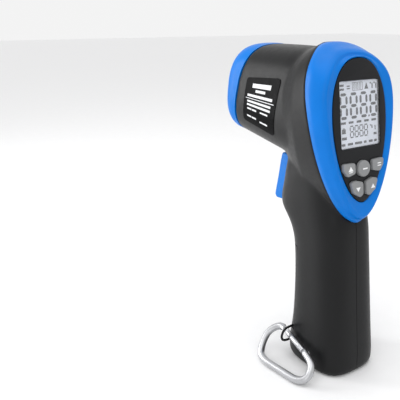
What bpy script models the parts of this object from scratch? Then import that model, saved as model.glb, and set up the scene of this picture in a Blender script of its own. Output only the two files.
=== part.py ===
"""Pistol-type infrared thermometer, as an assembly of separate pieces.

Frame: +X is the user's right, +Y points out of the nose, +Z is up. The origin is the centre of the
flat foot of the handle, on which the instrument stands. The display faces -Y.
"""

import math

import bmesh
import bpy
from mathutils import Matrix, Vector

MM = 0.001

# Fits
GAP = 0.3 * MM  # between pieces that touch
SEAM = 0.15 * MM  # half the joint line between the two shells
WALL = 2.2 * MM

# Handle sections: height, rear, front, half-width
HANDLE_POWER = 3.2
HANDLE_SECTIONS = [
    (0.0, -22.6, 23.4, 20.3),
    (1.2, -24.2, 25.0, 21.7),
    (4.0, -25.0, 26.0, 22.4),
    (9.0, -25.0, 26.2, 22.4),
    (16.0, -24.6, 25.6, 21.9),
    (28.0, -23.5, 23.8, 21.2),
    (50.0, -21.4, 23.0, 20.5),
    (72.0, -19.6, 24.0, 19.8),
    (84.0, -18.7, 26.2, 19.4),
    (92.0, -18.2, 30.5, 19.3),
    (98.0, -17.6, 36.5, 19.2),
    (102.0, -16.6, 39.8, 19.2),
    (108.0, -14.4, 40.2, 19.2),
    (118.0, -12.8, 37.6, 19.2),
    (128.0, -11.2, 35.2, 19.2),
    (138.0, -7.0, 33.0, 17.5),
]
HANDLE_WIDTH_SCALE = 1.0

# Head: an egg outline round the display, and the line where the bezel meets the shells
HEAD_CENTRE_Z = 170.0 * MM
HEAD_HALF_WIDTH = 30.3 * MM
HEAD_TOP = 34.6 * MM
HEAD_BOTTOM = 69.4 * MM
EGG_POWERS = (2.3, 1.75)
HEAD_RIM_Y = 10.5 * MM
HEAD_RIM_SCALE = 0.957
COLLAR_Y = 22.0 * MM
COLLAR_SCALE = 0.858
BORDER_LINE = [
    (96.0, -16.7),
    (100.6, -15.9),
    (120.0, -12.5),
    (142.0, -9.0),
    (166.0, -5.0),
    (182.0, -1.5),
    (195.0, 2.0),
    (200.0, 5.0),
    (204.6, 10.3),
    (209.0, 16.5),
]

# Barrel and nose: top and bottom point of each slanted section, half-width
BARREL_POWER = 2.7
BARREL_REAR = ((8.0, 200.0), (8.0, 128.0), 25.4)
BARREL_COLLAR = ((25.0, 200.8), (30.0, 133.5), 26.0)
BARREL_MIDDLE = ((44.0, 201.0), (54.0, 137.6), 26.0)
BARREL_FRONT = ((62.0, 201.0), (80.0, 142.0), 26.0)
NOSE_BULGE = ((70.0, 201.3), (84.4, 142.8), 26.6)
NOSE_SHOULDER = ((76.2, 200.4), (86.6, 144.6), 25.9)
NOSE_FACE = ((78.0, 198.4), (87.0, 147.0), 23.9)

# Display, in the tilted plane of the LCD
DISPLAY_CENTRE = (0.0, -14.7 * MM, 165.1 * MM)
DISPLAY_TILT = math.radians(6.7)
PANEL_CENTRE_Z = -3.1 * MM
PANEL_HALF_WIDTH = 21.0 * MM
PANEL_TOP = 34.0 * MM
PANEL_BOTTOM = 48.0 * MM
PANEL_POWERS = (2.3, 1.8)
PANEL_PROUD = 1.5 * MM
PANEL_BACK = 1.5 * MM
PANEL_EDGE = 0.6 * MM
LCD_WIDTH = 31.4 * MM
LCD_HEIGHT = 37.8 * MM
LCD_CORNER = 1.2 * MM
WINDOW_SINK = 0.4 * MM
WINDOW_THICKNESS = 0.8 * MM
MODULE_MARGIN = 2.5 * MM
MODULE_THICKNESS = 3.0 * MM
BACKLIGHT_THICKNESS = 2.2 * MM
BOARD_THICKNESS = 1.6 * MM
BOARD_CENTRE_Z = 3.0 * MM
BOARD_HALF_WIDTH = 21.8 * MM
BOARD_TOP = 26.0 * MM
BOARD_BOTTOM = 48.0 * MM
POST_RADIUS = 1.7 * MM
POST_TOP_Z = LCD_HEIGHT / 2 + MODULE_MARGIN + GAP + POST_RADIUS
POST_SIDE_X = LCD_WIDTH / 2 - 0.4 * MM
POST_PLACES = [(0.0, POST_TOP_Z + 1.5 * MM), (-POST_SIDE_X, -POST_TOP_Z), (POST_SIDE_X, -POST_TOP_Z)]
BOARD_SCREW_RADIUS = 0.9 * MM
BOARD_SCREW_HEAD_RADIUS = 1.8 * MM
BOARD_SCREW_HEAD = 1.2 * MM
BUZZER_PLACE = (9.0 * MM, 0.0, 7.4 * MM - POST_TOP_Z)

# Bezel
RIDGE_HALF_WIDTH = 26.5 * MM
RIDGE_TOP = 29.0 * MM
RIDGE_BOTTOM = 64.0 * MM
RIDGE_PROUD = 2.0 * MM
RIDGE_ROLL = 4.7 * MM
RIDGE_ROLL_START = 184.0 * MM
RIDGE_ROLL_LENGTH = 15.0 * MM

# Keys
KEY_PROUD = 3.9 * MM
KEY_TRAVEL = 1.0 * MM
KEY_FLANGE = 1.2 * MM
KEY_FLANGE_THICKNESS = 1.0 * MM
KEY_ROUND_RADIUS = 4.2 * MM
KEY_HOLE_CLEARANCE = 0.35 * MM
KEY_CORNER = 1.3 * MM
SIDE_KEY_CENTRE = (11.4, -30.1)
SIDE_KEY_CORNERS = [(-4.2, -2.9), (1.4, -4.0), (4.1, -0.6), (4.6, 3.3), (-4.2, 2.9)]
LOW_KEY_CENTRE = (6.0, -42.3)
LOW_KEY_CORNERS = [(-4.2, -3.2), (-2.0, -4.6), (2.2, -1.6), (4.3, 3.6), (0.8, 4.3), (-4.2, 3.0)]
MID_KEY_CENTRE = (0.0, -31.1)
MAT_HALF_WIDTH = 14.6 * MM
MAT_TOP = -POST_TOP_Z - POST_RADIUS - 2 * GAP
MAT_BOTTOM = -47.0 * MM
MAT_THICKNESS = 1.2 * MM

# Trigger: side profile (y, z), pivot, half-width
TRIGGER_PROFILE = [
    (30.0, 132.6),
    (44.6, 132.9),
    (46.2, 128.0),
    (48.6, 117.0),
    (51.4, 106.0),
    (52.2, 102.4),
    (50.4, 100.2),
    (44.0, 100.6),
    (36.0, 104.0),
    (31.0, 108.0),
    (28.0, 116.0),
    (26.6, 126.0),
]
TRIGGER_CORNER = 1.6 * MM
TRIGGER_HALF_WIDTH = 8.4 * MM
TRIGGER_SIDE_GAP = 0.5 * MM
TRIGGER_PIVOT = (31.0, 128.2)
TRIGGER_PIN_RADIUS = 1.5 * MM
TRIGGER_PIN_GRIP = 4.0 * MM
TRIGGER_SLOT_BOTTOM = 97.6 * MM
PIN_LUG_RADIUS = 3.3 * MM
SPRING_RADIUS = 2.6 * MM
SPRING_WIRE = 0.35 * MM
SPRING_TURNS = 5
SPRING_STEPS = 9
SPRING_HEIGHT_Z = 111.5 * MM
SPRING_LENGTH = 9.0 * MM
SWITCH_SIZE = (10.0, 6.0, 8.0)
SWITCH_Z = 120.5 * MM
PLUNGER_RADIUS = 1.2 * MM
PLUNGER_LENGTH = 3.0 * MM
PLUNGER_TRAVEL = 1.3 * MM

# Battery bay
DOOR_BOTTOM = 20.5 * MM
DOOR_TOP = 78.0 * MM
DOOR_REAR = 14.8 * MM
DOOR_BOTTOM_GAP = 1.5 * MM
DOOR_TOP_GAP = 0.9 * MM
DOOR_PIN_PLACE = (23.2, 17.0)
DOOR_PIN_RADIUS = 1.0 * MM
KNUCKLE_RADIUS = 2.3 * MM
KNUCKLE_HALF_WIDTH = 6.5 * MM
LUG_WIDTH = 3.6 * MM
BATTERY_SIZE = (26.5, 17.5, 46.5)
BATTERY_BOTTOM = 24.0 * MM
BATTERY_FRONT = 13.5 * MM
BATTERY_CORNER = 2.0 * MM
SNAP_THICKNESS = 3.0 * MM
TERMINAL_RADIUS = 3.4 * MM

# Optics, in the frame of the nose face
PLATE_HALF_WIDTH = 19.6 * MM
PLATE_HALF_HEIGHT = 22.4 * MM
PLATE_DEPTH = 5.4 * MM
PLATE_THICKNESS = 2.4 * MM
NOSE_STEP = 2.0 * MM
NOSE_WEB = 2.4 * MM
LENS_RADIUS = 10.3 * MM
LENS_BULGE = 1.3 * MM
LENS_EDGE = 1.2 * MM
TUBE_WALL = 1.6 * MM
TUBE_LENGTH = 30.0 * MM
LASER_OFFSET = 15.4 * MM
LASER_RADIUS = 3.1 * MM
LASER_LENGTH = 17.0 * MM
SENSOR_RADIUS = 4.6 * MM
SENSOR_LENGTH = 5.5 * MM
SENSOR_BOARD = 27.0 * MM

# Label on the left flank (y, z)
LABEL_CORNERS = [(33.6, 147.0), (65.6, 153.6), (58.6, 181.2), (24.6, 183.0)]
LABEL_CORNER_RADIUS = 2.6 * MM
LABEL_THICKNESS = 0.35 * MM

# Case screws (y, z) and their bosses
CASE_SCREWS = [(46.0, 144.8), (44.0, 193.0), (10.0, 192.5), (-8.0, 97.0), (-14.5, 12.0)]
CASE_SCREW_RADIUS = 1.4 * MM
CASE_SCREW_HEAD_RADIUS = 2.7 * MM
CASE_SCREW_HEAD = 1.8 * MM
CASE_SCREW_DEPTH = 6.5 * MM
TAB_LENGTH = 4.0 * MM
TAB_WIDTH = 10.0 * MM
BOSS_RADIUS = 3.1 * MM
BOSS_FLOOR = 6.0 * MM

# Carabiner, an offset D that stands on its spine and leans towards the toe of the handle.
# The ends of its spine are given by their distance out from the toe's side, and by y.
WIRE_RADIUS = 2.4 * MM
LEAN_PLACE = (17.9, 18.5)
SPINE_START = (23.05, 17.7)
SPINE_END = (19.95, -13.5)
CARABINER_LEAN = math.radians(40)
GATE_PIVOT = (1.5, 24.2)
GATE_NOSE = (24.2, 17.4)
GATE_RADIUS = 2.0 * MM
GATE_PIN_RADIUS = 0.6 * MM
EYE_WIRE = 1.1 * MM
EYE_HALF_SPAN = 5.6 * MM
EYE_PLACE = 3.2 * MM
EYE_SHIFT = 0.4 * MM
EYE_STEPS = 12

BODY_DARK = (0.022, 0.023, 0.026, 1.0)
BLUE = (0.0, 0.19, 0.70, 1.0)
COLOURS = {
    "shell": (BODY_DARK, 0.55, 0.0),
    "blue": (BLUE, 0.38, 0.0),
    "panel": ((0.035, 0.037, 0.042, 1.0), 0.42, 0.0),
    "window": ((0.62, 0.66, 0.68, 1.0), 0.12, 0.0),
    "lcd": ((0.50, 0.55, 0.57, 1.0), 0.25, 0.0),
    "white_plastic": ((0.75, 0.76, 0.76, 1.0), 0.4, 0.0),
    "key_rubber": ((0.14, 0.15, 0.16, 1.0), 0.7, 0.0),
    "board": ((0.01, 0.12, 0.05, 1.0), 0.45, 0.0),
    "black_plastic": ((0.012, 0.012, 0.013, 1.0), 0.4, 0.0),
    "steel": ((0.55, 0.56, 0.57, 1.0), 0.3, 1.0),
    "spring_steel": ((0.48, 0.48, 0.5, 1.0), 0.28, 1.0),
    "brass": ((0.6, 0.42, 0.16, 1.0), 0.3, 1.0),
    "battery": ((0.30, 0.31, 0.33, 1.0), 0.35, 0.4),
    "lens": ((0.08, 0.10, 0.12, 1.0), 0.08, 0.0),
    "label": ((0.008, 0.008, 0.009, 1.0), 0.25, 0.0),
    "aluminium": ((0.66, 0.67, 0.69, 1.0), 0.28, 1.0),
}

RING_POINTS = 32

# The exact solver drops the housing's thin walls in a long chain of steps, so these use MANIFOLD.
HOUSING_SOLVER = "MANIFOLD"


# Scene ------------------------------------------------------------------------------------------


def start_scene():
    """Empties the scene and returns the collection of parts and the one of cutters."""
    for old in list(bpy.data.objects):
        bpy.data.objects.remove(old, do_unlink=True)
    parts = bpy.data.collections.new("infrared_thermometer")
    cutters = bpy.data.collections.new("cutters")
    cutters.hide_render = True
    for collection in (parts, cutters):
        bpy.context.scene.collection.children.link(collection)
    return parts, cutters


PARTS, CUTTERS = start_scene()


def material(name):
    """The named Principled material, made once."""
    if name in bpy.data.materials:
        return bpy.data.materials[name]
    colour, roughness, metallic = COLOURS[name]
    made = bpy.data.materials.new(name)
    made.use_nodes = True
    made.diffuse_color = colour
    shader = made.node_tree.nodes["Principled BSDF"]
    shader.inputs["Base Color"].default_value = colour
    shader.inputs["Roughness"].default_value = roughness
    shader.inputs["Metallic"].default_value = metallic
    return made


def frame(name, location, rotation=(0.0, 0.0, 0.0)):
    """An empty that carries the pieces of one sub-assembly."""
    empty = bpy.data.objects.new(name, None)
    empty.location = location
    empty.rotation_euler = rotation
    empty.empty_display_size = 0.01
    PARTS.objects.link(empty)
    bpy.context.view_layer.update()
    return empty


def add(name, mesh, finish=None, parent=None, location=(0.0, 0.0, 0.0)):
    """Links a mesh as a part when it has a finish, and as a cutter when it has none."""
    made = bpy.data.objects.new(name, mesh)
    made.location = location
    made.parent = parent
    if finish:
        made.data.materials.append(material(finish))
        PARTS.objects.link(made)
    else:
        CUTTERS.objects.link(made)
        made.hide_render = True
        made.display_type = "WIRE"
    bpy.context.view_layer.update()
    return made


def mesh_from(bm, name, sharp_angle=35.0):
    """Turns a bmesh into a smooth-shaded mesh with its faces pointing out."""
    bmesh.ops.recalc_face_normals(bm, faces=bm.faces)
    mesh = bpy.data.meshes.new(name)
    bm.to_mesh(mesh)
    bm.free()
    mesh.shade_smooth()
    mesh.set_sharp_from_angle(angle=math.radians(sharp_angle))
    return mesh


# Outlines ---------------------------------------------------------------------------------------


def spline(points, at):
    """The value at a position on a smooth curve through (position, value) pairs."""
    last = len(points) - 2
    index = max(0, min(last, sum(1 for p in points if p[0] <= at) - 1))
    (x0, y0), (x1, y1) = points[index], points[index + 1]

    def slope(k):
        low = points[max(0, k - 1)]
        high = points[min(len(points) - 1, k + 1)]
        return (high[1] - low[1]) / (high[0] - low[0])

    span = x1 - x0
    t = (at - x0) / span
    return (
        (2 * t**3 - 3 * t**2 + 1) * y0
        + (t**3 - 2 * t**2 + t) * span * slope(index)
        + (3 * t**2 - 2 * t**3) * y1
        + (t**3 - t**2) * span * slope(index + 1)
    )


def power_ring(half_width, top, bottom, powers, count=RING_POINTS):
    """(x, v) points of a closed superellipse whose upper and lower halves may differ."""
    ring = []
    for k in range(count):
        angle = 2 * math.pi * k / count
        across = math.sin(angle)
        upright = math.cos(angle)
        power = powers[0] if upright >= 0 else powers[1]
        reach = top if upright >= 0 else bottom
        x = half_width * math.copysign(abs(across) ** (2 / power), across)
        v = reach * math.copysign(abs(upright) ** (2 / power), upright)
        if k in (0, count // 2):
            x = 0.0
        ring.append((x, v))
    return ring


def rounded(corners, radius, steps=3):
    """A polygon with each corner turned into an arc of the given radius."""
    outline = []
    count = len(corners)
    for k in range(count):
        here = Vector(corners[k])
        back = (Vector(corners[k - 1]) - here)
        ahead = (Vector(corners[(k + 1) % count]) - here)
        half = back.angle(ahead) / 2
        reach = min(radius / math.tan(half), back.length * 0.45, ahead.length * 0.45)
        start = here + back.normalized() * reach
        end = here + ahead.normalized() * reach
        for step in range(steps + 1):
            t = step / steps
            outline.append((1 - t) ** 2 * start + 2 * t * (1 - t) * here + t**2 * end)
    return outline


def rectangle(width, height, radius):
    half_w, half_h = width / 2, height / 2
    corners = [(-half_w, -half_h), (half_w, -half_h), (half_w, half_h), (-half_w, half_h)]
    return rounded(corners, radius)


def circle(radius, count=24):
    return [
        (radius * math.sin(2 * math.pi * k / count), radius * math.cos(2 * math.pi * k / count))
        for k in range(count)
    ]


# Solids -----------------------------------------------------------------------------------------


def loft(name, rings, finish=None, parent=None, strips=True, location=(0.0, 0.0, 0.0)):
    """A closed solid through rings of equal count. Strip caps join mirrored points of a ring."""
    bm = bmesh.new()
    count = len(rings[0])
    rows = [[bm.verts.new(point) for point in ring] for ring in rings]
    for near, far in zip(rows, rows[1:]):
        for k in range(count):
            bm.faces.new((near[k], near[(k + 1) % count], far[(k + 1) % count], far[k]))
    for row in (rows[0], rows[-1]):
        if strips:
            cap_with_strips(bm, row)
        else:
            bm.faces.new(row)
    return add(name, mesh_from(bm, name), finish, parent, location)


def cap_with_strips(bm, row):
    count = len(row)
    bm.faces.new((row[0], row[1], row[-1]))
    for k in range(1, count // 2 - 1):
        bm.faces.new((row[k], row[k + 1], row[count - k - 1], row[count - k]))
    middle = count // 2
    bm.faces.new((row[middle], row[middle + 1], row[middle - 1]))


def prism(name, outline, near, far, finish=None, parent=None, location=(0.0, 0.0, 0.0)):
    """An (x, z) outline drawn out along Y from near to far."""
    rings = [[Vector((x, depth, z)) for x, z in outline] for depth in (near, far)]
    return loft(name, rings, finish, parent, False, location)


def side_prism(name, outline, left, right, finish=None, parent=None):
    """A (y, z) outline drawn out along X from left to right."""
    rings = [[Vector((x, y, z)) for y, z in outline] for x in (left, right)]
    return loft(name, rings, finish, parent, False)


def box(name, low, high, finish=None, parent=None):
    """A box between two corners, from a primitive cube."""
    low, high = Vector(low), Vector(high)
    bm = bmesh.new()
    bmesh.ops.create_cube(bm, size=1.0)
    size = Matrix.Diagonal((high - low).to_4d())
    size[3][3] = 1.0
    bmesh.ops.transform(bm, matrix=Matrix.Translation((low + high) / 2) @ size, verts=bm.verts)
    return add(name, mesh_from(bm, name), finish, parent)


def cylinder(name, radius, start, end, finish=None, parent=None, count=16):
    """A cylinder from start to end, from a primitive cone of two equal radii."""
    start, end = Vector(start), Vector(end)
    bm = bmesh.new()
    length = (end - start).length
    bmesh.ops.create_cone(
        bm, cap_ends=True, segments=count, radius1=radius, radius2=radius, depth=length
    )
    turn = (end - start).to_track_quat("Z", "Y").to_matrix().to_4x4()
    bmesh.ops.transform(bm, matrix=Matrix.Translation((start + end) / 2) @ turn, verts=bm.verts)
    return add(name, mesh_from(bm, name), finish, parent)


def turned(name, profile, finish, parent, steps=24):
    """A profile of (radius, y) points turned about the parent's Y axis with a Screw modifier."""
    mesh = bpy.data.meshes.new(name)
    turn = sum(r0 * y1 - r1 * y0 for (r0, y0), (r1, y1) in zip(profile, profile[1:] + profile[:1]))
    if turn > 0:
        profile = profile[::-1]
    points = [(radius, y, 0.0) for radius, y in profile]
    mesh.from_pydata(points, [(k, k + 1) for k in range(len(points) - 1)], [])
    made = add(name, mesh, finish, parent)
    screw = made.modifiers.new("turn", "SCREW")
    screw.axis = "Y"
    screw.steps = steps
    screw.render_steps = steps
    screw.use_merge_vertices = True
    screw.merge_threshold = 0.00001
    screw.use_smooth_shade = True
    return made


def wire(name, points, radius, finish, closed=False, sides=2, parent=None):
    """A round wire through the points, as a mesh with welded caps."""
    curve = bpy.data.curves.new(name, "CURVE")
    curve.dimensions = "3D"
    curve.bevel_depth = radius
    curve.bevel_resolution = sides
    curve.use_fill_caps = True
    line = curve.splines.new("POLY")
    line.points.add(len(points) - 1)
    for control, point in zip(line.points, points):
        control.co = (*point, 1.0)
    line.use_cyclic_u = closed
    drawn = bpy.data.objects.new(name + "_line", curve)
    CUTTERS.objects.link(drawn)
    bpy.context.view_layer.update()
    mesh = bpy.data.meshes.new_from_object(drawn.evaluated_get(bpy.context.evaluated_depsgraph_get()))
    mesh.name = name
    bpy.data.objects.remove(drawn)
    bm = bmesh.new()
    bm.from_mesh(mesh)
    bmesh.ops.remove_doubles(bm, verts=bm.verts, dist=0.00001)
    bpy.data.meshes.remove(mesh)
    return add(name, mesh_from(bm, name), finish, parent)


def boolean(target, operation, other, solver="EXACT"):
    """Adds a Boolean to the target."""
    step = target.modifiers.new(operation.lower(), "BOOLEAN")
    step.operation = operation
    step.object = other
    step.solver = solver
    return target


def cut(target, *others, solver="EXACT"):
    for other in others:
        boolean(target, "DIFFERENCE", other, solver)
    return target


def join(target, *others, solver="EXACT"):
    for other in others:
        boolean(target, "UNION", other, solver)
    return target


def soften(target, width, segments=2, angle=40.0):
    """Rounds the edges of a piece that are sharper than the angle."""
    bevel = target.modifiers.new("rounded_edges", "BEVEL")
    bevel.width = width
    bevel.segments = segments
    bevel.limit_method = "ANGLE"
    bevel.angle_limit = math.radians(angle)
    return target


def settle(source, name, finish=None):
    """The evaluated shape of an object as a new object in world space."""
    graph = bpy.context.evaluated_depsgraph_get()
    mesh = bpy.data.meshes.new_from_object(source.evaluated_get(graph))
    mesh.transform(source.matrix_world)
    mesh.materials.clear()
    mesh.name = name
    mesh.shade_smooth()
    mesh.set_sharp_from_angle(angle=math.radians(35.0))
    return add(name, mesh, finish)


# Housing forms ----------------------------------------------------------------------------------


def border_y(z):
    """Depth of the line where the bezel meets the shells, at a height."""
    return spline(BORDER_LINE, z / MM) * MM


def display_y(z):
    """Depth of the LCD plane at a height."""
    return DISPLAY_CENTRE[1] + math.tan(DISPLAY_TILT) * (z - DISPLAY_CENTRE[2])


def ridge_y(z):
    """Depth of the bezel's highest line, which rolls forward over the top of the head."""
    roll = max(0.0, (z - RIDGE_ROLL_START) / RIDGE_ROLL_LENGTH)
    return display_y(z) - RIDGE_PROUD + RIDGE_ROLL * roll * roll


def head_ring(scale, depth, inset=0.0):
    """A ring of the head's egg outline; depth gives y from z."""
    outline = power_ring(
        HEAD_HALF_WIDTH * scale - inset,
        HEAD_TOP * scale - inset,
        HEAD_BOTTOM * scale - inset,
        EGG_POWERS,
    )
    return [Vector((x, depth(HEAD_CENTRE_Z + v), HEAD_CENTRE_Z + v)) for x, v in outline]


def head_form(name, inset=0.0, start=None):
    """The head in front of the bezel line, down to the collar that meets the barrel."""
    begin = start or border_y
    rings = [
        head_ring(1.0, begin, inset),
        head_ring(HEAD_RIM_SCALE, lambda z: max(HEAD_RIM_Y, border_y(z) + 3.5 * MM), inset),
        head_ring(COLLAR_SCALE, lambda z: max(COLLAR_Y, border_y(z) + 7.0 * MM), inset),
        head_ring(0.62, lambda z: 40.0 * MM, inset),
    ]
    return loft(name, rings)


def slanted_ring(section, inset=0.0, ahead=0.0, power=BARREL_POWER):
    """A ring in the plane through a section's top and bottom points, moved ahead along Y."""
    top, bottom, half_width = section
    top = Vector((0.0, top[0] * MM + ahead, top[1] * MM))
    bottom = Vector((0.0, bottom[0] * MM + ahead, bottom[1] * MM))
    centre = (top + bottom) / 2
    upright = top - centre
    reach = upright.length - inset
    upright.normalize()
    outline = power_ring(half_width * MM - inset, reach, reach, (power, power))
    return [centre + upright * v + Vector((x, 0.0, 0.0)) for x, v in outline]


def barrel_form(name, inset=0.0, ahead=0.0):
    sections = (BARREL_REAR, BARREL_COLLAR, BARREL_MIDDLE, BARREL_FRONT)
    rings = [slanted_ring(section, inset) for section in sections]
    if ahead:
        rings.append(slanted_ring(BARREL_FRONT, inset, ahead))
    return loft(name, rings)


def handle_section(z):
    """Rear, front and half-width of the handle at a height."""
    rear, front, half_width = (
        spline([(s[0], s[k]) for s in HANDLE_SECTIONS], z / MM) * MM for k in (1, 2, 3)
    )
    return rear, front, half_width * HANDLE_WIDTH_SCALE


def handle_ring(z, inset=0.0):
    """A level ring of the handle at a height."""
    rear, front, half_width = handle_section(z)
    reach = (front - rear) / 2 - inset
    outline = power_ring(half_width - inset, reach, reach, (HANDLE_POWER, HANDLE_POWER))
    return [Vector((x, (rear + front) / 2 + v, z)) for x, v in outline]


def handle_form(name, inset=0.0):
    heights = [s[0] * MM for s in HANDLE_SECTIONS]
    if inset:
        heights = [z for z in heights if z > inset]
        rings = [handle_ring(inset, inset)] + [handle_ring(z, inset) for z in heights]
    else:
        rings = [handle_ring(z) for z in heights]
    return loft(name, rings)


def housing():
    """The hollow housing before it is split, with the seat of the bezel cut out of it."""
    outer = join(
        handle_form("handle_outer"),
        head_form("head_outer"),
        barrel_form("barrel_outer"),
        solver=HOUSING_SOLVER,
    )
    inner = join(
        handle_form("handle_inner", WALL),
        head_form("head_inner", WALL, lambda z: border_y(z) - 3.0 * MM),
        barrel_form("barrel_inner", WALL, ahead=20.0 * MM),
        solver=HOUSING_SOLVER,
    )
    outer = settle(outer, "housing_outer")
    inner = settle(inner, "housing_inner")
    seat = loft(
        "bezel_seat",
        [
            head_ring(1.0, lambda z: border_y(z) - 30.0 * MM, -GAP),
            head_ring(1.0, lambda z: border_y(z) + GAP, -GAP),
        ],
    )
    cut(outer, inner, seat, solver=HOUSING_SOLVER)
    return settle(outer, "housing_hollow")


def half_space(name, side):
    """A box on one side of the middle plane, short of it by half the joint line."""
    reach = 0.06
    low, high = (-reach, -SEAM) if side < 0 else (SEAM, reach)
    return box(name, (low, -0.08, -0.01), (high, 0.12, 0.24))


def wall_middle():
    """A solid whose skin lies half-way through the wall; bosses end on it."""
    half = WALL / 2
    form = join(
        handle_form("handle_middle", half),
        head_form("head_middle", half, lambda z: border_y(z) + GAP + half),
        barrel_form("barrel_middle", half),
        solver=HOUSING_SOLVER,
    )
    return settle(form, "wall_middle")


def boss(name, radius, place, side, start):
    """A boss from a distance beside the middle plane out into the side wall."""
    y, z = place[0] * MM, place[1] * MM
    post = cylinder(name + "_post", radius, (side * start, y, z), (side * HEAD_HALF_WIDTH, y, z))
    boolean(post, "INTERSECT", bpy.data.objects["wall_middle"], HOUSING_SOLVER)
    return settle(post, name)


def shells():
    """The left and right shells with bosses, trigger slot, door opening, lugs and sockets."""
    housing()
    wall_middle()
    near = TRIGGER_HALF_WIDTH + TRIGGER_SIDE_GAP
    slot = box(
        "trigger_slot",
        (-near, 22.0 * MM, TRIGGER_SLOT_BOTTOM),
        (near, 60.0 * MM, BARREL_COLLAR[1][1] * MM - GAP),
    )
    lugged = settle(bpy.data.objects["housing_hollow"], "housing_lugged")
    for side, name in ((-1, "left_lug"), (1, "right_lug")):
        lug = boss(name, PIN_LUG_RADIUS, TRIGGER_PIVOT, side, near - 1.0 * MM)
        join(lugged, lug, solver=HOUSING_SOLVER)
    cut(lugged, slot, *door_opening(GAP), solver=HOUSING_SOLVER)
    opened = settle(lugged, "housing_opened")
    for side, name in ((-1, "left_shell"), (1, "right_shell")):
        shell = settle(opened, name, "shell")
        for k, place in enumerate(CASE_SCREWS):
            post = boss(f"{name}_boss_{k}", BOSS_RADIUS, place, side, -1.0 * MM)
            join(shell, post, solver=HOUSING_SOLVER)
        boolean(shell, "INTERSECT", half_space(name + "_half", side), HOUSING_SOLVER)
        base_tab(shell, name, side)
        door_lug(shell, name, side)
        pin_holes(shell, name, side)
        screw_holes(shell, name, side)


def base_tab(shell, name, side):
    """The tab in the foot of the left shell that locks into a notch of the right shell."""
    spare = GAP if side > 0 else 0.0
    low = -TAB_LENGTH / 2 if side < 0 else -TAB_LENGTH
    tab = box(
        name + "_tab",
        (low, -TAB_WIDTH / 2 - spare, -spare if side > 0 else 0.0),
        (TAB_LENGTH + spare, TAB_WIDTH / 2 + spare, WALL + spare),
    )
    boolean(shell, "UNION" if side < 0 else "DIFFERENCE", tab, HOUSING_SOLVER)


def door_lug(shell, name, side):
    """A lug beside the door's knuckle."""
    y, z = DOOR_PIN_PLACE[0] * MM, DOOR_PIN_PLACE[1] * MM
    low = KNUCKLE_HALF_WIDTH + 2 * GAP
    span = sorted((side * low, side * (low + LUG_WIDTH)))
    block = box(
        name + "_door_lug",
        (span[0], y - 2.6 * MM, z - 3.4 * MM),
        (span[1], y + 1.4 * MM, DOOR_BOTTOM - DOOR_BOTTOM_GAP - 0.2 * MM),
    )
    join(shell, block, solver=HOUSING_SOLVER)


def pin_holes(shell, name, side):
    """Blind holes that hold the ends of the trigger pin and of the door's pin."""
    places = (
        ("trigger", TRIGGER_PIVOT, TRIGGER_PIN_RADIUS, trigger_pin_reach()),
        ("door", DOOR_PIN_PLACE, DOOR_PIN_RADIUS, door_pin_reach()),
    )
    for pin, place, radius, reach in places:
        y, z = place[0] * MM, place[1] * MM
        hole = cylinder(
            f"{name}_{pin}_pin_hole", radius + GAP, (-side * MM, y, z), (side * (reach + GAP), y, z)
        )
        cut(shell, hole, solver=HOUSING_SOLVER)


def trigger_pin_reach():
    return TRIGGER_HALF_WIDTH + TRIGGER_SIDE_GAP + TRIGGER_PIN_GRIP


def door_pin_reach():
    return KNUCKLE_HALF_WIDTH + 2 * GAP + LUG_WIDTH - 1.0 * MM


def screw_holes(shell, name, side):
    """Clearance holes and counterbores on the right, blind pilot holes on the left."""
    for k, place in enumerate(CASE_SCREWS):
        y, z = place[0] * MM, place[1] * MM
        radius = CASE_SCREW_RADIUS + GAP
        if side < 0:
            end = -CASE_SCREW_DEPTH - GAP
            cut(shell, cylinder(f"screw_pilot_{k}", radius, (0.01, y, z), (end, y, z)))
            continue
        hole = cylinder(f"screw_hole_{k}", radius, (-0.01, y, z), (0.05, y, z))
        head = cylinder(
            f"screw_counterbore_{k}", CASE_SCREW_HEAD_RADIUS + GAP, (BOSS_FLOOR, y, z), (0.05, y, z)
        )
        cut(shell, hole, head)


def door_opening(clearance):
    """Cutters for the door in the front wall of the handle and for the notch of its knuckle."""
    opening = box(
        "door_opening",
        (-0.05, DOOR_REAR - clearance, DOOR_BOTTOM - DOOR_BOTTOM_GAP),
        (0.05, 0.05, DOOR_TOP + DOOR_TOP_GAP),
    )
    y, z = DOOR_PIN_PLACE[0] * MM, DOOR_PIN_PLACE[1] * MM
    side = KNUCKLE_HALF_WIDTH + 2 * GAP
    notch = box(
        "knuckle_notch",
        (-side, y - KNUCKLE_RADIUS - 2 * GAP, z - KNUCKLE_RADIUS - 2 * GAP),
        (side, 0.05, DOOR_TOP / 2),
    )
    return opening, notch


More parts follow.
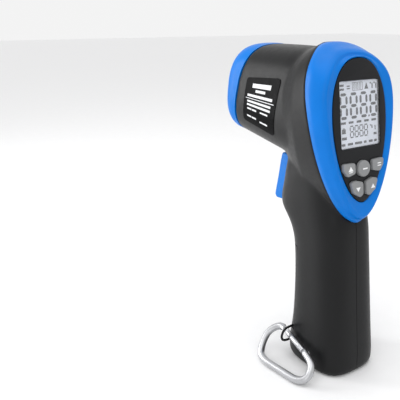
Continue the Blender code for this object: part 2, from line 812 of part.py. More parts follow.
def battery_door():
    """The front of the handle wall between its edges, with a hinge knuckle at the bottom."""
    y, z = DOOR_PIN_PLACE[0] * MM, DOOR_PIN_PLACE[1] * MM
    skin = settle(bpy.data.objects["housing_hollow"], "door_skin")
    window = box("door_window", (-0.05, DOOR_REAR, DOOR_BOTTOM), (0.05, 0.05, DOOR_TOP))
    boolean(skin, "INTERSECT", window)
    web = box(
        "knuckle_web",
        (-KNUCKLE_HALF_WIDTH, y - 1.6 * MM, z),
        (KNUCKLE_HALF_WIDTH, y + 0.6 * MM, DOOR_BOTTOM + 1.0 * MM),
    )
    ends = (-KNUCKLE_HALF_WIDTH, y, z), (KNUCKLE_HALF_WIDTH, y, z)
    join(skin, web, cylinder("knuckle", KNUCKLE_RADIUS, *ends))
    reach = 2 * KNUCKLE_HALF_WIDTH
    cut(skin, cylinder("knuckle_bore", DOOR_PIN_RADIUS + GAP, (-reach, y, z), (reach, y, z)))
    grips = [grip_rib(k) for k in range(3)]
    join(skin, *grips)
    door = settle(skin, "battery_door", "shell")
    put_origin(door, (0.0, y, z))
    length = door_pin_reach()
    cylinder("door_pin", DOOR_PIN_RADIUS, (-length, y, z), (length, y, z), "steel")
    return door


def grip_rib(index):
    """A short raised rib under the top edge of the door, for the thumb."""
    z = DOOR_TOP - (5.0 + 2.4 * index) * MM
    return cylinder(f"grip_rib_{index}", 0.5 * MM, (-6 * MM, front_y(z), z), (6 * MM, front_y(z), z))


def front_y(z):
    return spline([(s[0], s[2]) for s in HANDLE_SECTIONS], z / MM) * MM


def put_origin(target, place):
    """Moves an object's origin to a point without moving its shape."""
    offset = Vector(place) - target.location
    target.data.transform(Matrix.Translation(-offset))
    target.location = place
    bpy.context.view_layer.update()


# Nose and optics --------------------------------------------------------------------------------


def nose_frame():
    """A frame at the centre of the nose face, with Y straight out of it."""
    top = Vector((0.0, NOSE_FACE[0][0] * MM, NOSE_FACE[0][1] * MM))
    bottom = Vector((0.0, NOSE_FACE[1][0] * MM, NOSE_FACE[1][1] * MM))
    slope = math.atan2(bottom.y - top.y, top.z - bottom.z)
    return frame("nose_frame", (top + bottom) / 2, (slope, 0.0, 0.0))


def oval(half_width, half_height):
    return power_ring(half_width, half_height, half_height, (2.2, 2.2))


def nose_ring(nose):
    """The coloured ring that closes the front of the barrel, with a spigot inside the shells."""
    sections = (BARREL_FRONT, NOSE_BULGE, NOSE_SHOULDER, NOSE_FACE)
    rings = [slanted_ring(BARREL_FRONT, 0.0, GAP)]
    rings += [slanted_ring(section) for section in sections[1:]]
    body = loft("nose_ring_body", rings)
    inset = WALL + GAP
    spigot = loft(
        "nose_spigot",
        [slanted_ring(BARREL_FRONT, inset, -4.0 * MM), slanted_ring(BARREL_FRONT, inset, 2.0 * MM)],
    )
    join(body, spigot)
    recess = prism(
        "nose_recess", oval(PLATE_HALF_WIDTH + GAP, PLATE_HALF_HEIGHT + GAP),
        -PLATE_DEPTH - GAP, 5.0 * MM, parent=nose,
    )
    bore = prism(
        "nose_bore", oval(PLATE_HALF_WIDTH - NOSE_STEP, PLATE_HALF_HEIGHT - NOSE_STEP),
        -40.0 * MM, 0.0, parent=nose,
    )
    hollow = loft(
        "nose_hollow",
        [
            slanted_ring(BARREL_FRONT, inset + 1.6 * MM, -10.0 * MM),
            slanted_ring(BARREL_FRONT, inset + 1.6 * MM, 2.0 * MM),
        ],
    )
    cut(body, recess, bore, hollow)
    return settle(body, "nose_ring", "blue")


def optics(nose):
    """Nose plate, lens and its retainer, optical tube, thermopile, lasers and their bracket."""
    seat = -PLATE_DEPTH
    plate = prism(
        "nose_plate", oval(PLATE_HALF_WIDTH, PLATE_HALF_HEIGHT),
        seat, seat + PLATE_THICKNESS, "black_plastic", nose,
    )
    ring_radius = LENS_RADIUS + GAP
    holes = [prism("lens_hole", circle(ring_radius + GAP, 32), -0.02, 0.02, parent=nose)]
    for sign in (-1, 1):
        hole = prism(
            f"laser_hole_{sign}", circle(LASER_RADIUS + GAP), -0.02, 0.02, parent=nose,
            location=(0.0, 0.0, sign * LASER_OFFSET),
        )
        holes.append(hole)
    cut(plate, *holes)
    tube_front = seat - GAP
    inner, outer = LENS_RADIUS + GAP, LENS_RADIUS + GAP + TUBE_WALL
    turned(
        "optical_tube",
        [(inner, tube_front), (outer, tube_front), (outer, tube_front - TUBE_LENGTH),
         (inner - 3 * MM, tube_front - TUBE_LENGTH), (inner - 3 * MM, tube_front - 8 * MM),
         (inner, tube_front - 8 * MM), (inner, tube_front)],
        "black_plastic", nose,
    )
    lens_front = tube_front - 0.6 * MM
    turned("lens", lens_profile(lens_front), "lens", nose)
    ring_back = tube_front + GAP
    ring_front = seat + PLATE_THICKNESS + 0.8 * MM
    turned(
        "lens_retainer",
        [(ring_radius, ring_front), (ring_radius, ring_back), (LENS_RADIUS - 1.4 * MM, ring_back),
         (LENS_RADIUS - 0.6 * MM, ring_front), (ring_radius, ring_front)],
        "black_plastic", nose,
    )
    board_front = tube_front - TUBE_LENGTH - GAP
    prism(
        "sensor_board", rectangle(SENSOR_BOARD, SENSOR_BOARD, 1.5 * MM),
        board_front - BOARD_THICKNESS, board_front, "board", nose,
    )
    base = board_front + GAP
    turned(
        "thermopile",
        [(0.0, base + SENSOR_LENGTH), (SENSOR_RADIUS - 0.4 * MM, base + SENSOR_LENGTH),
         (SENSOR_RADIUS, base + SENSOR_LENGTH - 0.6 * MM), (SENSOR_RADIUS, base + 0.8 * MM),
         (SENSOR_RADIUS + 0.8 * MM, base + 0.8 * MM), (SENSOR_RADIUS + 0.8 * MM, base), (0.0, base)],
        "steel", nose, 16,
    )
    lasers(nose, seat, outer)


def lens_profile(front):
    """Half of a lens with two domed faces, from the front pole round the edge to the back pole."""
    points = []
    steps = 4
    for k in range(steps + 1):
        r = LENS_RADIUS * k / steps
        points.append((r, front - LENS_BULGE * (k / steps) ** 2))
    back = front - LENS_BULGE * 2 - LENS_EDGE
    for k in range(steps, -1, -1):
        r = LENS_RADIUS * k / steps
        points.append((r, back + LENS_BULGE * (k / steps) ** 2))
    return points


def lasers(nose, seat, tube_radius):
    """Two laser modules above and below the lens, and the bracket round them and the tube."""
    plate_at = seat - 9.0 * MM
    bracket = prism(
        "laser_bracket", oval(PLATE_HALF_WIDTH - NOSE_STEP - GAP, PLATE_HALF_HEIGHT - NOSE_STEP - GAP),
        plate_at - 3.0 * MM, plate_at, "black_plastic", nose,
    )
    cut(bracket, prism("bracket_bore", circle(tube_radius + GAP, 32), -0.03, 0.0, parent=nose))
    for sign, name in ((1, "laser_upper"), (-1, "laser_lower")):
        height = sign * LASER_OFFSET
        front = seat + 0.6 * MM
        laser = turned(
            name,
            [(0.0, front - 1.0 * MM), (1.2 * MM, front - 1.0 * MM), (1.5 * MM, front),
             (LASER_RADIUS, front), (LASER_RADIUS, front - LASER_LENGTH), (0.0, front - LASER_LENGTH)],
            "brass", nose, 20,
        )
        laser.location = (0.0, 0.0, height)
        hole = prism(
            f"bracket_hole_{sign}", circle(LASER_RADIUS + GAP), -0.03, 0.0, parent=nose,
            location=(0.0, 0.0, height),
        )
        cut(bracket, hole)


# Display and keys -------------------------------------------------------------------------------


def bezel(display):
    """The coloured bezel: from the shells' edge up to a ridge and in to the panel."""
    def between(share):
        return lambda z: border_y(z) + (ridge_y(z) - border_y(z)) * share

    def ridge_ring(grow, depth, inset=0.0):
        outline = power_ring(
            RIDGE_HALF_WIDTH + grow - inset, RIDGE_TOP + grow - inset, RIDGE_BOTTOM + grow - inset,
            EGG_POWERS,
        )
        return [Vector((x, depth(HEAD_CENTRE_Z + v), HEAD_CENTRE_Z + v)) for x, v in outline]

    rings = [
        head_ring(1.0, border_y),
        head_ring(1.0, between(0.30)),
        ridge_ring(2.9 * MM, between(0.62)),
        ridge_ring(1.6 * MM, between(0.88)),
        ridge_ring(0.0, ridge_y),
        ridge_ring(-1.8 * MM, lambda z: ridge_y(z) + 0.1 * MM),
    ]
    body = loft("bezel_body", rings)
    hollow = loft(
        "bezel_hollow",
        [
            head_ring(1.0, lambda z: border_y(z) + 4.0 * MM, WALL),
            head_ring(1.0, between(0.25), WALL),
            ridge_ring(1.2 * MM, lambda z: between(0.70)(z) + 0.6 * MM, WALL),
        ],
    )
    opening = prism("panel_opening", panel_outline(GAP), -0.02, 0.03, parent=display)
    margin = 2 * (MODULE_MARGIN + GAP)
    outline = rectangle(LCD_WIDTH + margin, LCD_HEIGHT + margin, LCD_CORNER)
    stack = prism("display_stack_room", outline, PANEL_BACK, 0.03, parent=display)
    cut(body, hollow, opening, stack)
    made = settle(body, "rear_bezel", "blue")
    return made


def panel_outline(grow=0.0):
    outline = power_ring(
        PANEL_HALF_WIDTH + grow, PANEL_TOP + grow, PANEL_BOTTOM + grow, PANEL_POWERS
    )
    return [(x, PANEL_CENTRE_Z + v) for x, v in outline]


def key_places():
    """Name, centre and outline about the centre of each key."""
    side = [(x * MM, z * MM) for x, z in SIDE_KEY_CORNERS]
    low = [(x * MM, z * MM) for x, z in LOW_KEY_CORNERS]
    places = [("key_measure", MID_KEY_CENTRE, circle(KEY_ROUND_RADIUS))]
    for name, centre, corners in (("up", SIDE_KEY_CENTRE, side), ("low", LOW_KEY_CENTRE, low)):
        for sign, hand in ((-1, "left"), (1, "right")):
            outline = [(sign * x, z) for x, z in rounded(corners, KEY_CORNER)]
            places.append((f"key_{name}_{hand}", (sign * centre[0], centre[1]), outline))
    return places


def grown(outline, amount):
    """An outline about its own centre, moved outwards by roughly the amount."""
    result = []
    for x, z in outline:
        length = math.hypot(x, z)
        result.append((x * (1 + amount / length), z * (1 + amount / length)))
    return result


def display_stack(display):
    """Panel, window, LCD module, backlight, keys with their mat, main board and its screws."""
    panel_rings = [
        [Vector((x, depth, z)) for x, z in panel_outline(grow)]
        for grow, depth in (
            (0.0, PANEL_BACK),
            (0.0, -PANEL_PROUD + PANEL_EDGE),
            (-PANEL_EDGE, -PANEL_PROUD),
        )
    ]
    panel = loft("display_panel", panel_rings, "panel", display, strips=True)
    cut(panel, prism("lcd_hole", rectangle(LCD_WIDTH, LCD_HEIGHT, LCD_CORNER), -0.01, 0.01, parent=display))
    window_front = WINDOW_SINK - PANEL_PROUD
    window_back = window_front + WINDOW_THICKNESS
    module_flange = PANEL_BACK + GAP
    module_back = module_flange + MODULE_THICKNESS
    light_back = module_back + GAP + BACKLIGHT_THICKNESS
    board_front = light_back + GAP
    margin = 2 * MODULE_MARGIN
    outline = rectangle(LCD_WIDTH + margin, LCD_HEIGHT + margin, LCD_CORNER)
    seen = rectangle(LCD_WIDTH - 2 * GAP, LCD_HEIGHT - 2 * GAP, LCD_CORNER)
    prism("lcd_window", seen, window_front, window_back, "window", display)
    module = prism("lcd_module", outline, module_flange, module_back, "lcd", display)
    join(module, prism("lcd_glass", seen, window_back + GAP, module_flange + 1.0 * MM, parent=display))
    prism("lcd_backlight", outline, module_back + GAP, light_back, "white_plastic", display)
    keys(display, panel)
    keypad_mat(display, board_front)
    main_board(display, panel, board_front)


def keys(display, panel):
    flange_front = PANEL_BACK + GAP
    edge = 0.7 * MM
    for name, centre, outline in key_places():
        x, z = centre[0] * MM, centre[1] * MM
        steps = [
            (-edge, -KEY_PROUD), (-0.2 * MM, -KEY_PROUD + edge * 0.7), (0.0, -PANEL_PROUD),
            (0.0, flange_front), (KEY_FLANGE, flange_front),
            (KEY_FLANGE, flange_front + KEY_FLANGE_THICKNESS),
        ]
        rings = [[Vector((u, depth, v)) for u, v in grown(outline, grow)] for grow, depth in steps]
        loft(name, rings, "key_rubber", display, False, (x, 0.0, z))
        hole = prism(
            name + "_hole", grown(outline, KEY_HOLE_CLEARANCE), -0.01, 0.01, parent=display,
            location=(x, 0.0, z),
        )
        cut(panel, hole)


def keypad_mat(display, board_front):
    """A tray of rubber behind the keys, open towards the board."""
    front = PANEL_BACK + GAP + KEY_FLANGE_THICKNESS + KEY_TRAVEL + GAP
    outline = rounded(
        [(-MAT_HALF_WIDTH * 0.55, MAT_BOTTOM), (MAT_HALF_WIDTH * 0.55, MAT_BOTTOM),
         (MAT_HALF_WIDTH, MAT_BOTTOM * 0.78), (MAT_HALF_WIDTH, MAT_TOP), (-MAT_HALF_WIDTH, MAT_TOP),
         (-MAT_HALF_WIDTH, MAT_BOTTOM * 0.78)], 2.0 * MM,
    )
    middle = (MAT_TOP + MAT_BOTTOM) / 2
    mat = prism("keypad_mat", outline, front, board_front - GAP, "key_rubber", display)
    inner = [(x * 0.88, middle + (z - middle) * 0.86) for x, z in outline]
    cut(mat, prism("mat_hollow", inner, front + MAT_THICKNESS, 0.05, parent=display))


def main_board(display, panel, front):
    """The circuit board, its buzzer, and three screws into posts behind the panel."""
    outline = power_ring(BOARD_HALF_WIDTH, BOARD_TOP, BOARD_BOTTOM, PANEL_POWERS)
    outline = [(x, BOARD_CENTRE_Z + v) for x, v in outline]
    back = front + BOARD_THICKNESS
    board = prism("main_board", outline, front, back, "board", display)
    for k, (x, z) in enumerate(POST_PLACES, 1):
        place = (x, 0.0, z)
        post = prism(
            f"post_{k}", circle(POST_RADIUS, 16), PANEL_BACK - 1.0 * MM, front - GAP, parent=display,
            location=place,
        )
        join(panel, post)
        pilot = prism(
            f"pilot_{k}", circle(BOARD_SCREW_RADIUS + GAP, 16), PANEL_BACK + 0.5 * MM, 0.05,
            parent=display, location=place,
        )
        cut(panel, pilot)
        cut(board, pilot)
        turned(
            f"board_screw_{k}",
            [(0.0, back + GAP + BOARD_SCREW_HEAD), (BOARD_SCREW_HEAD_RADIUS, back + GAP + BOARD_SCREW_HEAD),
             (BOARD_SCREW_HEAD_RADIUS, back + GAP), (BOARD_SCREW_RADIUS, back + GAP),
             (BOARD_SCREW_RADIUS, PANEL_BACK + 1.2 * MM), (0.0, PANEL_BACK + 1.2 * MM)],
            "steel", display, 16,
        ).location = place
    top = back + GAP + 3.6 * MM
    turned(
        "buzzer",
        [(1.0 * MM, top), (5.4 * MM, top), (6.0 * MM, top - 0.6 * MM), (6.0 * MM, back + GAP),
         (0.0, back + GAP), (0.0, top - 1.2 * MM), (1.0 * MM, top - 1.2 * MM), (1.0 * MM, top)],
        "black_plastic", display, 24,
    ).location = BUZZER_PLACE


# Trigger ----------------------------------------------------------------------------------------


def trigger():
    """The trigger on its pin, the return spring behind it, and the switch that it presses."""
    y, z = TRIGGER_PIVOT[0] * MM, TRIGGER_PIVOT[1] * MM
    outline = rounded([(a * MM, b * MM) for a, b in TRIGGER_PROFILE], TRIGGER_CORNER)
    blade = side_prism("trigger_blade", outline, -TRIGGER_HALF_WIDTH, TRIGGER_HALF_WIDTH)
    soften(blade, 1.6 * MM, 2, 50.0)
    reach = 2 * TRIGGER_HALF_WIDTH
    bore = cylinder("trigger_bore", TRIGGER_PIN_RADIUS + GAP, (-reach, y, z), (reach, y, z))
    cut(blade, bore)
    made = settle(blade, "trigger", "blue")
    put_origin(made, (0.0, y, z))
    length = trigger_pin_reach()
    cylinder("trigger_pin", TRIGGER_PIN_RADIUS, (-length, y, z), (length, y, z), "steel")
    nearest = min(rear_of_trigger(SPRING_HEIGHT_Z + k * SPRING_RADIUS * 1.2) for k in (-1, 1))
    spring_front = nearest - GAP - SPRING_WIRE
    points = []
    for k in range(SPRING_TURNS * SPRING_STEPS + 1):
        angle = 2 * math.pi * k / SPRING_STEPS
        points.append((
            SPRING_RADIUS * math.cos(angle),
            spring_front - SPRING_LENGTH * k / (SPRING_TURNS * SPRING_STEPS),
            SPRING_HEIGHT_Z + SPRING_RADIUS * math.sin(angle),
        ))
    wire("trigger_spring", points, SPRING_WIRE, "spring_steel", sides=2)
    trigger_switch()


def rear_of_trigger(z):
    """Depth of the trigger's rear face at a height between its two rear points."""
    low, high = TRIGGER_PROFILE[-2], TRIGGER_PROFILE[-1]
    share = (z / MM - low[1]) / (high[1] - low[1])
    if share < 0:
        low, high = TRIGGER_PROFILE[-3], TRIGGER_PROFILE[-2]
        share = (z / MM - low[1]) / (high[1] - low[1])
    return (low[0] + (high[0] - low[0]) * share) * MM


def trigger_switch():
    tip = rear_of_trigger(SWITCH_Z) - GAP
    face = tip - PLUNGER_TRAVEL - 0.4 * MM
    width, depth, height = (size * MM for size in SWITCH_SIZE)
    switch = box(
        "trigger_switch",
        (-width / 2, face - depth, SWITCH_Z - height / 2),
        (width / 2, face, SWITCH_Z + height / 2),
        "black_plastic",
    )
    bore = cylinder(
        "plunger_bore", PLUNGER_RADIUS + GAP,
        (0.0, face - PLUNGER_LENGTH - PLUNGER_TRAVEL - GAP, SWITCH_Z), (0.0, face + 0.01, SWITCH_Z),
    )
    cut(switch, bore)
    cylinder(
        "switch_plunger", PLUNGER_RADIUS, (0.0, tip - PLUNGER_LENGTH, SWITCH_Z), (0.0, tip, SWITCH_Z),
        "white_plastic",
    )


# Battery ----------------------------------------------------------------------------------------


def battery():
    """A nine-volt block with its two terminals, and the snap cap over them."""
    width, depth, height = (size * MM for size in BATTERY_SIZE)
    middle = BATTERY_FRONT - depth / 2
    top = BATTERY_BOTTOM + height
    block = box(
        "battery_block", (-width / 2, middle - depth / 2, BATTERY_BOTTOM),
        (width / 2, middle + depth / 2, top),
    )
    soften(block, BATTERY_CORNER, 2)
    snap_low = top + GAP
    snap = box(
        "battery_snap_block", (-width / 2, middle - 6.5 * MM, snap_low),
        (width / 2, middle + 6.5 * MM, snap_low + SNAP_THICKNESS),
    )
    soften(snap, 1.0 * MM, 1)
    for side in (-1, 1):
        x = side * 6.4 * MM
        ends = (x, middle, top - 1 * MM), (x, middle, top + 2 * MM)
        stud = cylinder(f"terminal_{side}", TERMINAL_RADIUS, *ends)
        join(block, stud)
        cup = cylinder(
            f"terminal_cup_{side}", TERMINAL_RADIUS + GAP, (x, middle, snap_low - 1 * MM),
            (x, middle, snap_low + 2 * MM),
        )
        cut(snap, cup)
    settle(block, "battery", "battery")
    settle(snap, "battery_snap", "black_plastic")


# Label and screws -------------------------------------------------------------------------------


def label():
    """A thin sticker on the curved left flank of the barrel."""
    skin = barrel_form("label_skin", -GAP - LABEL_THICKNESS)
    cut(skin, barrel_form("label_under", -GAP), head_form("label_head_room", -GAP))
    corners = [(y * MM, z * MM) for y, z in LABEL_CORNERS]
    outline = rounded(corners, LABEL_CORNER_RADIUS, 4)
    boolean(skin, "INTERSECT", side_prism("label_outline", outline, -0.04, -0.012))
    settle(skin, "side_label", "label")


def case_screws():
    for k, place in enumerate(CASE_SCREWS, 1):
        y, z = place[0] * MM, place[1] * MM
        head_back = BOSS_FLOOR + GAP
        ends = (-CASE_SCREW_DEPTH, y, z), (head_back + 0.5 * MM, y, z)
        shank = cylinder(f"screw_shank_{k}", CASE_SCREW_RADIUS, *ends, count=16)
        head = cylinder(
            f"screw_head_{k}", CASE_SCREW_HEAD_RADIUS, (head_back, y, z),
            (head_back + CASE_SCREW_HEAD, y, z), count=20,
        )
        join(shank, head)
        settle(shank, f"case_screw_{k}", "steel")


# Carabiner --------------------------------------------------------------------------------------


def side_wall(y, z):
    """Half-width of the handle at a depth and a height."""
    rear, front, half_width = handle_section(z)
    middle = (rear + front) / 2
    share = min(1.0, abs(y - middle) / (middle - rear))
    return half_width * (1 - share**HANDLE_POWER) ** (1 / HANDLE_POWER)


def carabiner_frame():
    """A frame at the start of the spine: X along the spine, Y up the leaning plane."""
    wall = side_wall(LEAN_PLACE[0] * MM, LEAN_PLACE[1] * MM)
    start = Vector((-wall - SPINE_START[0] * MM, SPINE_START[1] * MM, WIRE_RADIUS))
    end = Vector((-wall - SPINE_END[0] * MM, SPINE_END[1] * MM, WIRE_RADIUS))
    along = (end - start).normalized()
    level = Vector((0.0, 0.0, 1.0)).cross(along)
    if level.x < 0:
        level.negate()
    rise = level * math.cos(CARABINER_LEAN) + Vector((0.0, 0.0, 1.0)) * math.sin(CARABINER_LEAN)
    out = along.cross(rise)
    turn = Matrix((along, rise, out)).transposed().to_4x4()
    return Matrix.Translation(start) @ turn


def carabiner():
    """The bent wire body from the gate pivot round the spine to the nose, and the gate."""
    place = carabiner_frame()
    corners = [GATE_PIVOT, (-5.5, 25.6), (-11.6, 17.0), (-7.2, 3.2), (0.0, 0.0),
               (30.5, 0.0), (36.4, 5.0), (33.0, 14.0), GATE_NOSE]
    corners = [Vector((u * MM, v * MM)) for u, v in corners]
    path = smooth_path(corners)
    body = wire("carabiner_wire", [place @ Vector((u, v, 0.0)) for u, v in path], WIRE_RADIUS, None)
    pivot = Vector((GATE_PIVOT[0] * MM, GATE_PIVOT[1] * MM))
    nose = Vector((GATE_NOSE[0] * MM, GATE_NOSE[1] * MM))
    along = (nose - pivot).normalized()
    inward = Vector((-along.y, along.x))
    if inward.y > 0:
        inward.negate()
    gate_parts(body, place, pivot, nose, along, inward)


def smooth_path(corners):
    """The body's centre line: arcs at the corners, kept straight at both ends."""
    path = [corners[0]]
    for before, here, after in zip(corners, corners[1:], corners[2:]):
        start = here + (before - here) * 0.5
        end = here + (after - here) * 0.5
        if (before - here).length > 20 * MM:
            start = here + (before - here).normalized() * 6 * MM
        if (after - here).length > 20 * MM:
            end = here + (after - here).normalized() * 6 * MM
        for step in range(5):
            t = step / 4
            point = (1 - t) ** 2 * start + 2 * t * (1 - t) * here + t**2 * end
            if (point - path[-1]).length > 0.05 * MM:
                path.append(point)
    path.append(corners[-1])
    return path


def gate_parts(body, place, pivot, nose, along, inward):
    """Cuts the fork and the nose hook into the body, and makes the gate with its pin."""
    def at(point, out=0.0):
        return place @ Vector((point.x, point.y, out))

    pin_place = pivot - along * 0.5 * MM
    fork = oriented_box("gate_fork", place, pin_place, along, inward, (-3.2, 8.0), (-5.0, 5.0), 1.5)
    hook = oriented_box("gate_hook", place, nose, along, inward, (-5.0, 2.6), (-5.0, 5.0), 0.95)
    pin_hole = cylinder(
        "gate_pin_hole", GATE_PIN_RADIUS + GAP, at(pin_place, -4 * MM), at(pin_place, 4 * MM),
        count=12,
    )
    cut(body, fork, hook, pin_hole)
    settle(body, "carabiner_body", "aluminium")
    start = pin_place
    end = nose - along * 0.4 * MM
    bar = wire("gate_bar", [at(start + along * 3.0 * MM), at(end - along * 2.0 * MM)], GATE_RADIUS, None)
    tang = oriented_box("gate_tang", place, start, along, inward, (-1.4, 4.5), (-1.5, 1.5), 1.2)
    tongue = oriented_box(
        "gate_tongue", place, end, along, inward, (-3.0, 0.9), (-1.2, 1.2), 0.6
    )
    join(bar, tang, tongue)
    ends = at(start, -4 * MM), at(start, 4 * MM)
    cut(bar, cylinder("gate_bore", GATE_PIN_RADIUS + GAP, *ends, count=12))
    gate = settle(bar, "carabiner_gate", "aluminium")
    put_origin(gate, at(start))
    ends = at(start, -2.0 * MM), at(start, 2.0 * MM)
    cylinder("gate_pin", GATE_PIN_RADIUS, *ends, "steel", count=12)
    direction = place.to_3x3() @ Vector((along.x, along.y, 0.0))
    lanyard_eye(at(start + along * EYE_PLACE + inward * EYE_SHIFT), direction)


def oriented_box(name, place, centre, along, inward, run, across, half_depth):
    """A box in the carabiner's plane; run and across are ranges in millimetres."""
    corners = []
    for a in run:
        for b in across:
            flat = centre + along * a * MM + inward * b * MM
            for depth in (-half_depth * MM, half_depth * MM):
                corners.append(place @ Vector((flat.x, flat.y, depth)))
    bm = bmesh.new()
    for corner in corners:
        bm.verts.new(corner)
    bmesh.ops.convex_hull(bm, input=bm.verts)
    return add(name, mesh_from(bm, name))


def lanyard_eye(centre, along):
    """A small staple on the toe of the handle, round the gate and wide enough for it to open."""
    wall_x = -side_wall(centre.y, centre.z) - 2 * GAP
    up = Vector((1.0, 0.0, 0.0)).cross(along).normalized()
    if up.z < 0:
        up.negate()
    out = centre.x - EYE_HALF_SPAN + 0.4 * MM
    points = []
    for step in range(EYE_STEPS + 1):
        angle = math.pi * step / EYE_STEPS
        reach = max(0.0, math.sin(angle)) ** 0.5
        x = wall_x + (out - wall_x) * reach
        spot = centre + up * math.cos(angle) * EYE_HALF_SPAN
        points.append(Vector((x, spot.y, spot.z)))
    return wire("lanyard_eye", points, EYE_WIRE, "shell")


def main():
    shells()
    battery_door()
    nose = nose_frame()
    nose_ring(nose)
    optics(nose)
    display = frame("display_frame", DISPLAY_CENTRE, (-DISPLAY_TILT, 0.0, 0.0))
    bezel(display)
    display_stack(display)
    trigger()
    battery()
    label()
    case_screws()
    carabiner()


main()
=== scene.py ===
"""Looks of a pistol-type infrared thermometer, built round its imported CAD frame.

The visible pieces are drawn again from the same sections as the CAD solids, much finer. The housing is
blended into one smooth form, then hollowed, opened and split. Frame: +X is the user's right, +Y points
out of the nose, +Z is up, and the origin is the centre of the foot of the handle.
"""

import math

import bmesh
import bpy
from mathutils import Matrix, Vector
from mathutils.bvhtree import BVHTree


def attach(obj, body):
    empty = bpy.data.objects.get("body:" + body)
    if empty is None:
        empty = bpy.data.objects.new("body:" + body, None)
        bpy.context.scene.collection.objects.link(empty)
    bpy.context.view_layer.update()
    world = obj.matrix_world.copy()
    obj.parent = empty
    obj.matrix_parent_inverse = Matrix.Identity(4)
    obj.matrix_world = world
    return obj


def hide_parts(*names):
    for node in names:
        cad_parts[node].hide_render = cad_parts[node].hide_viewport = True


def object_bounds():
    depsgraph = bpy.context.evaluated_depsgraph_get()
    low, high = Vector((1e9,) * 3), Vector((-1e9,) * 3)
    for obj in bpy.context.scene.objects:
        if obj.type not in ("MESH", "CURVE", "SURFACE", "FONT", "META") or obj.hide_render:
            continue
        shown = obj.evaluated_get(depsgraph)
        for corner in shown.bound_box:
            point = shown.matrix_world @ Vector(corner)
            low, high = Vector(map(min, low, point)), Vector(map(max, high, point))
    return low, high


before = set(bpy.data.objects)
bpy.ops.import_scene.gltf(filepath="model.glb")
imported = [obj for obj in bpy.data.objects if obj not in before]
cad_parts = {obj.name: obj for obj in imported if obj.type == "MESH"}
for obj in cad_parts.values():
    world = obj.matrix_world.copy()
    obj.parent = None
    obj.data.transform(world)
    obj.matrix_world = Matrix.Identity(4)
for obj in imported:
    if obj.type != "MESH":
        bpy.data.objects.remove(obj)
CAD_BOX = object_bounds()

MM = 0.001

# Reach of a cutter that goes right through whatever it cuts
BEYOND = 300 * MM

# Fits
GAP = 0.3 * MM
SEAM = 0.15 * MM
WALL = 2.2 * MM

# Handle sections: height, rear, front, half-width
HANDLE_POWER = 3.2
HANDLE_SECTIONS = [
    (0.0, -22.6, 23.4, 20.3),
    (1.2, -24.2, 25.0, 21.7),
    (4.0, -25.0, 26.0, 22.4),
    (9.0, -25.0, 26.2, 22.4),
    (16.0, -24.6, 25.6, 21.9),
    (28.0, -23.5, 23.8, 21.2),
    (50.0, -21.4, 23.0, 20.5),
    (72.0, -19.6, 24.0, 19.8),
    (84.0, -18.7, 26.2, 19.4),
    (92.0, -18.2, 30.5, 19.3),
    (98.0, -17.6, 36.5, 19.2),
    (102.0, -16.6, 39.8, 19.2),
    (108.0, -14.4, 40.2, 19.2),
    (118.0, -12.8, 37.6, 19.2),
    (128.0, -11.2, 35.2, 19.2),
    (138.0, -7.0, 33.0, 17.5),
]
HANDLE_STEP = 1.5

# Head: an egg outline, and the line where the bezel meets the shells
HEAD_CENTRE_Z = 170.0 * MM
HEAD_HALF_WIDTH = 30.3 * MM
HEAD_TOP = 34.6 * MM
HEAD_BOTTOM = 69.4 * MM
EGG_POWERS = (2.3, 1.75)
HEAD_RIM_Y = 10.5 * MM
HEAD_RIM_SCALE = 0.957
COLLAR_Y = 22.0 * MM
COLLAR_SCALE = 0.858
BORDER_LINE = [
    (96.0, -16.7),
    (100.6, -15.9),
    (120.0, -12.5),
    (142.0, -9.0),
    (166.0, -5.0),
    (182.0, -1.5),
    (195.0, 2.0),
    (200.0, 5.0),
    (204.6, 10.3),
    (209.0, 16.5),
]

# Barrel and nose: top and bottom point of each slanted section, half-width
BARREL_POWER = 2.7
BARREL_REAR = ((8.0, 200.0), (8.0, 128.0), 25.4)
BARREL_COLLAR = ((25.0, 200.8), (30.0, 133.5), 26.0)
BARREL_MIDDLE = ((44.0, 201.0), (54.0, 137.6), 26.0)
BARREL_FRONT = ((62.0, 201.0), (80.0, 142.0), 26.0)
NOSE_BULGE = ((70.0, 201.3), (84.4, 142.8), 26.6)
NOSE_SHOULDER = ((76.2, 200.4), (86.6, 144.6), 25.9)
NOSE_FACE = ((78.0, 198.4), (87.0, 147.0), 23.9)

# Display, in the tilted plane of the LCD
DISPLAY_CENTRE = Vector((0.0, -14.7 * MM, 165.1 * MM))
DISPLAY_TILT = math.radians(6.7)
DISPLAY = Matrix.Translation(DISPLAY_CENTRE) @ Matrix.Rotation(-DISPLAY_TILT, 4, "X")
PANEL_CENTRE_Z = -3.1 * MM
PANEL_HALF_WIDTH = 21.0 * MM
PANEL_TOP = 34.0 * MM
PANEL_BOTTOM = 48.0 * MM
PANEL_POWERS = (2.3, 1.8)
PANEL_PROUD = 1.5 * MM
PANEL_BACK = 1.5 * MM
PANEL_EDGE = 0.7 * MM
LCD_WIDTH = 31.4 * MM
LCD_HEIGHT = 37.8 * MM
LCD_CORNER = 1.2 * MM
MODULE_MARGIN = 2.5 * MM
MODULE_FLANGE = 1.8 * MM
MODULE_BACK = 4.8 * MM
WINDOW_FRONT = -1.1 * MM
WINDOW_BACK = -0.3 * MM
LCD_FACE = 0.0
INK_HEIGHT = 0.04 * MM
SEGMENT_GAP = 0.04
# Rows of digits: count, then u, step in u, v, width and height as shares of the LCD, stroke in mm
DIGIT_ROWS = [
    (4, 0.03, 0.25, 0.175, 0.2, 0.385, 1.6),
    (4, 0.26, 0.12, 0.66, 0.105, 0.185, 0.7),
    (3, 0.385, 0.07, 0.045, 0.05, 0.085, 0.35),
]
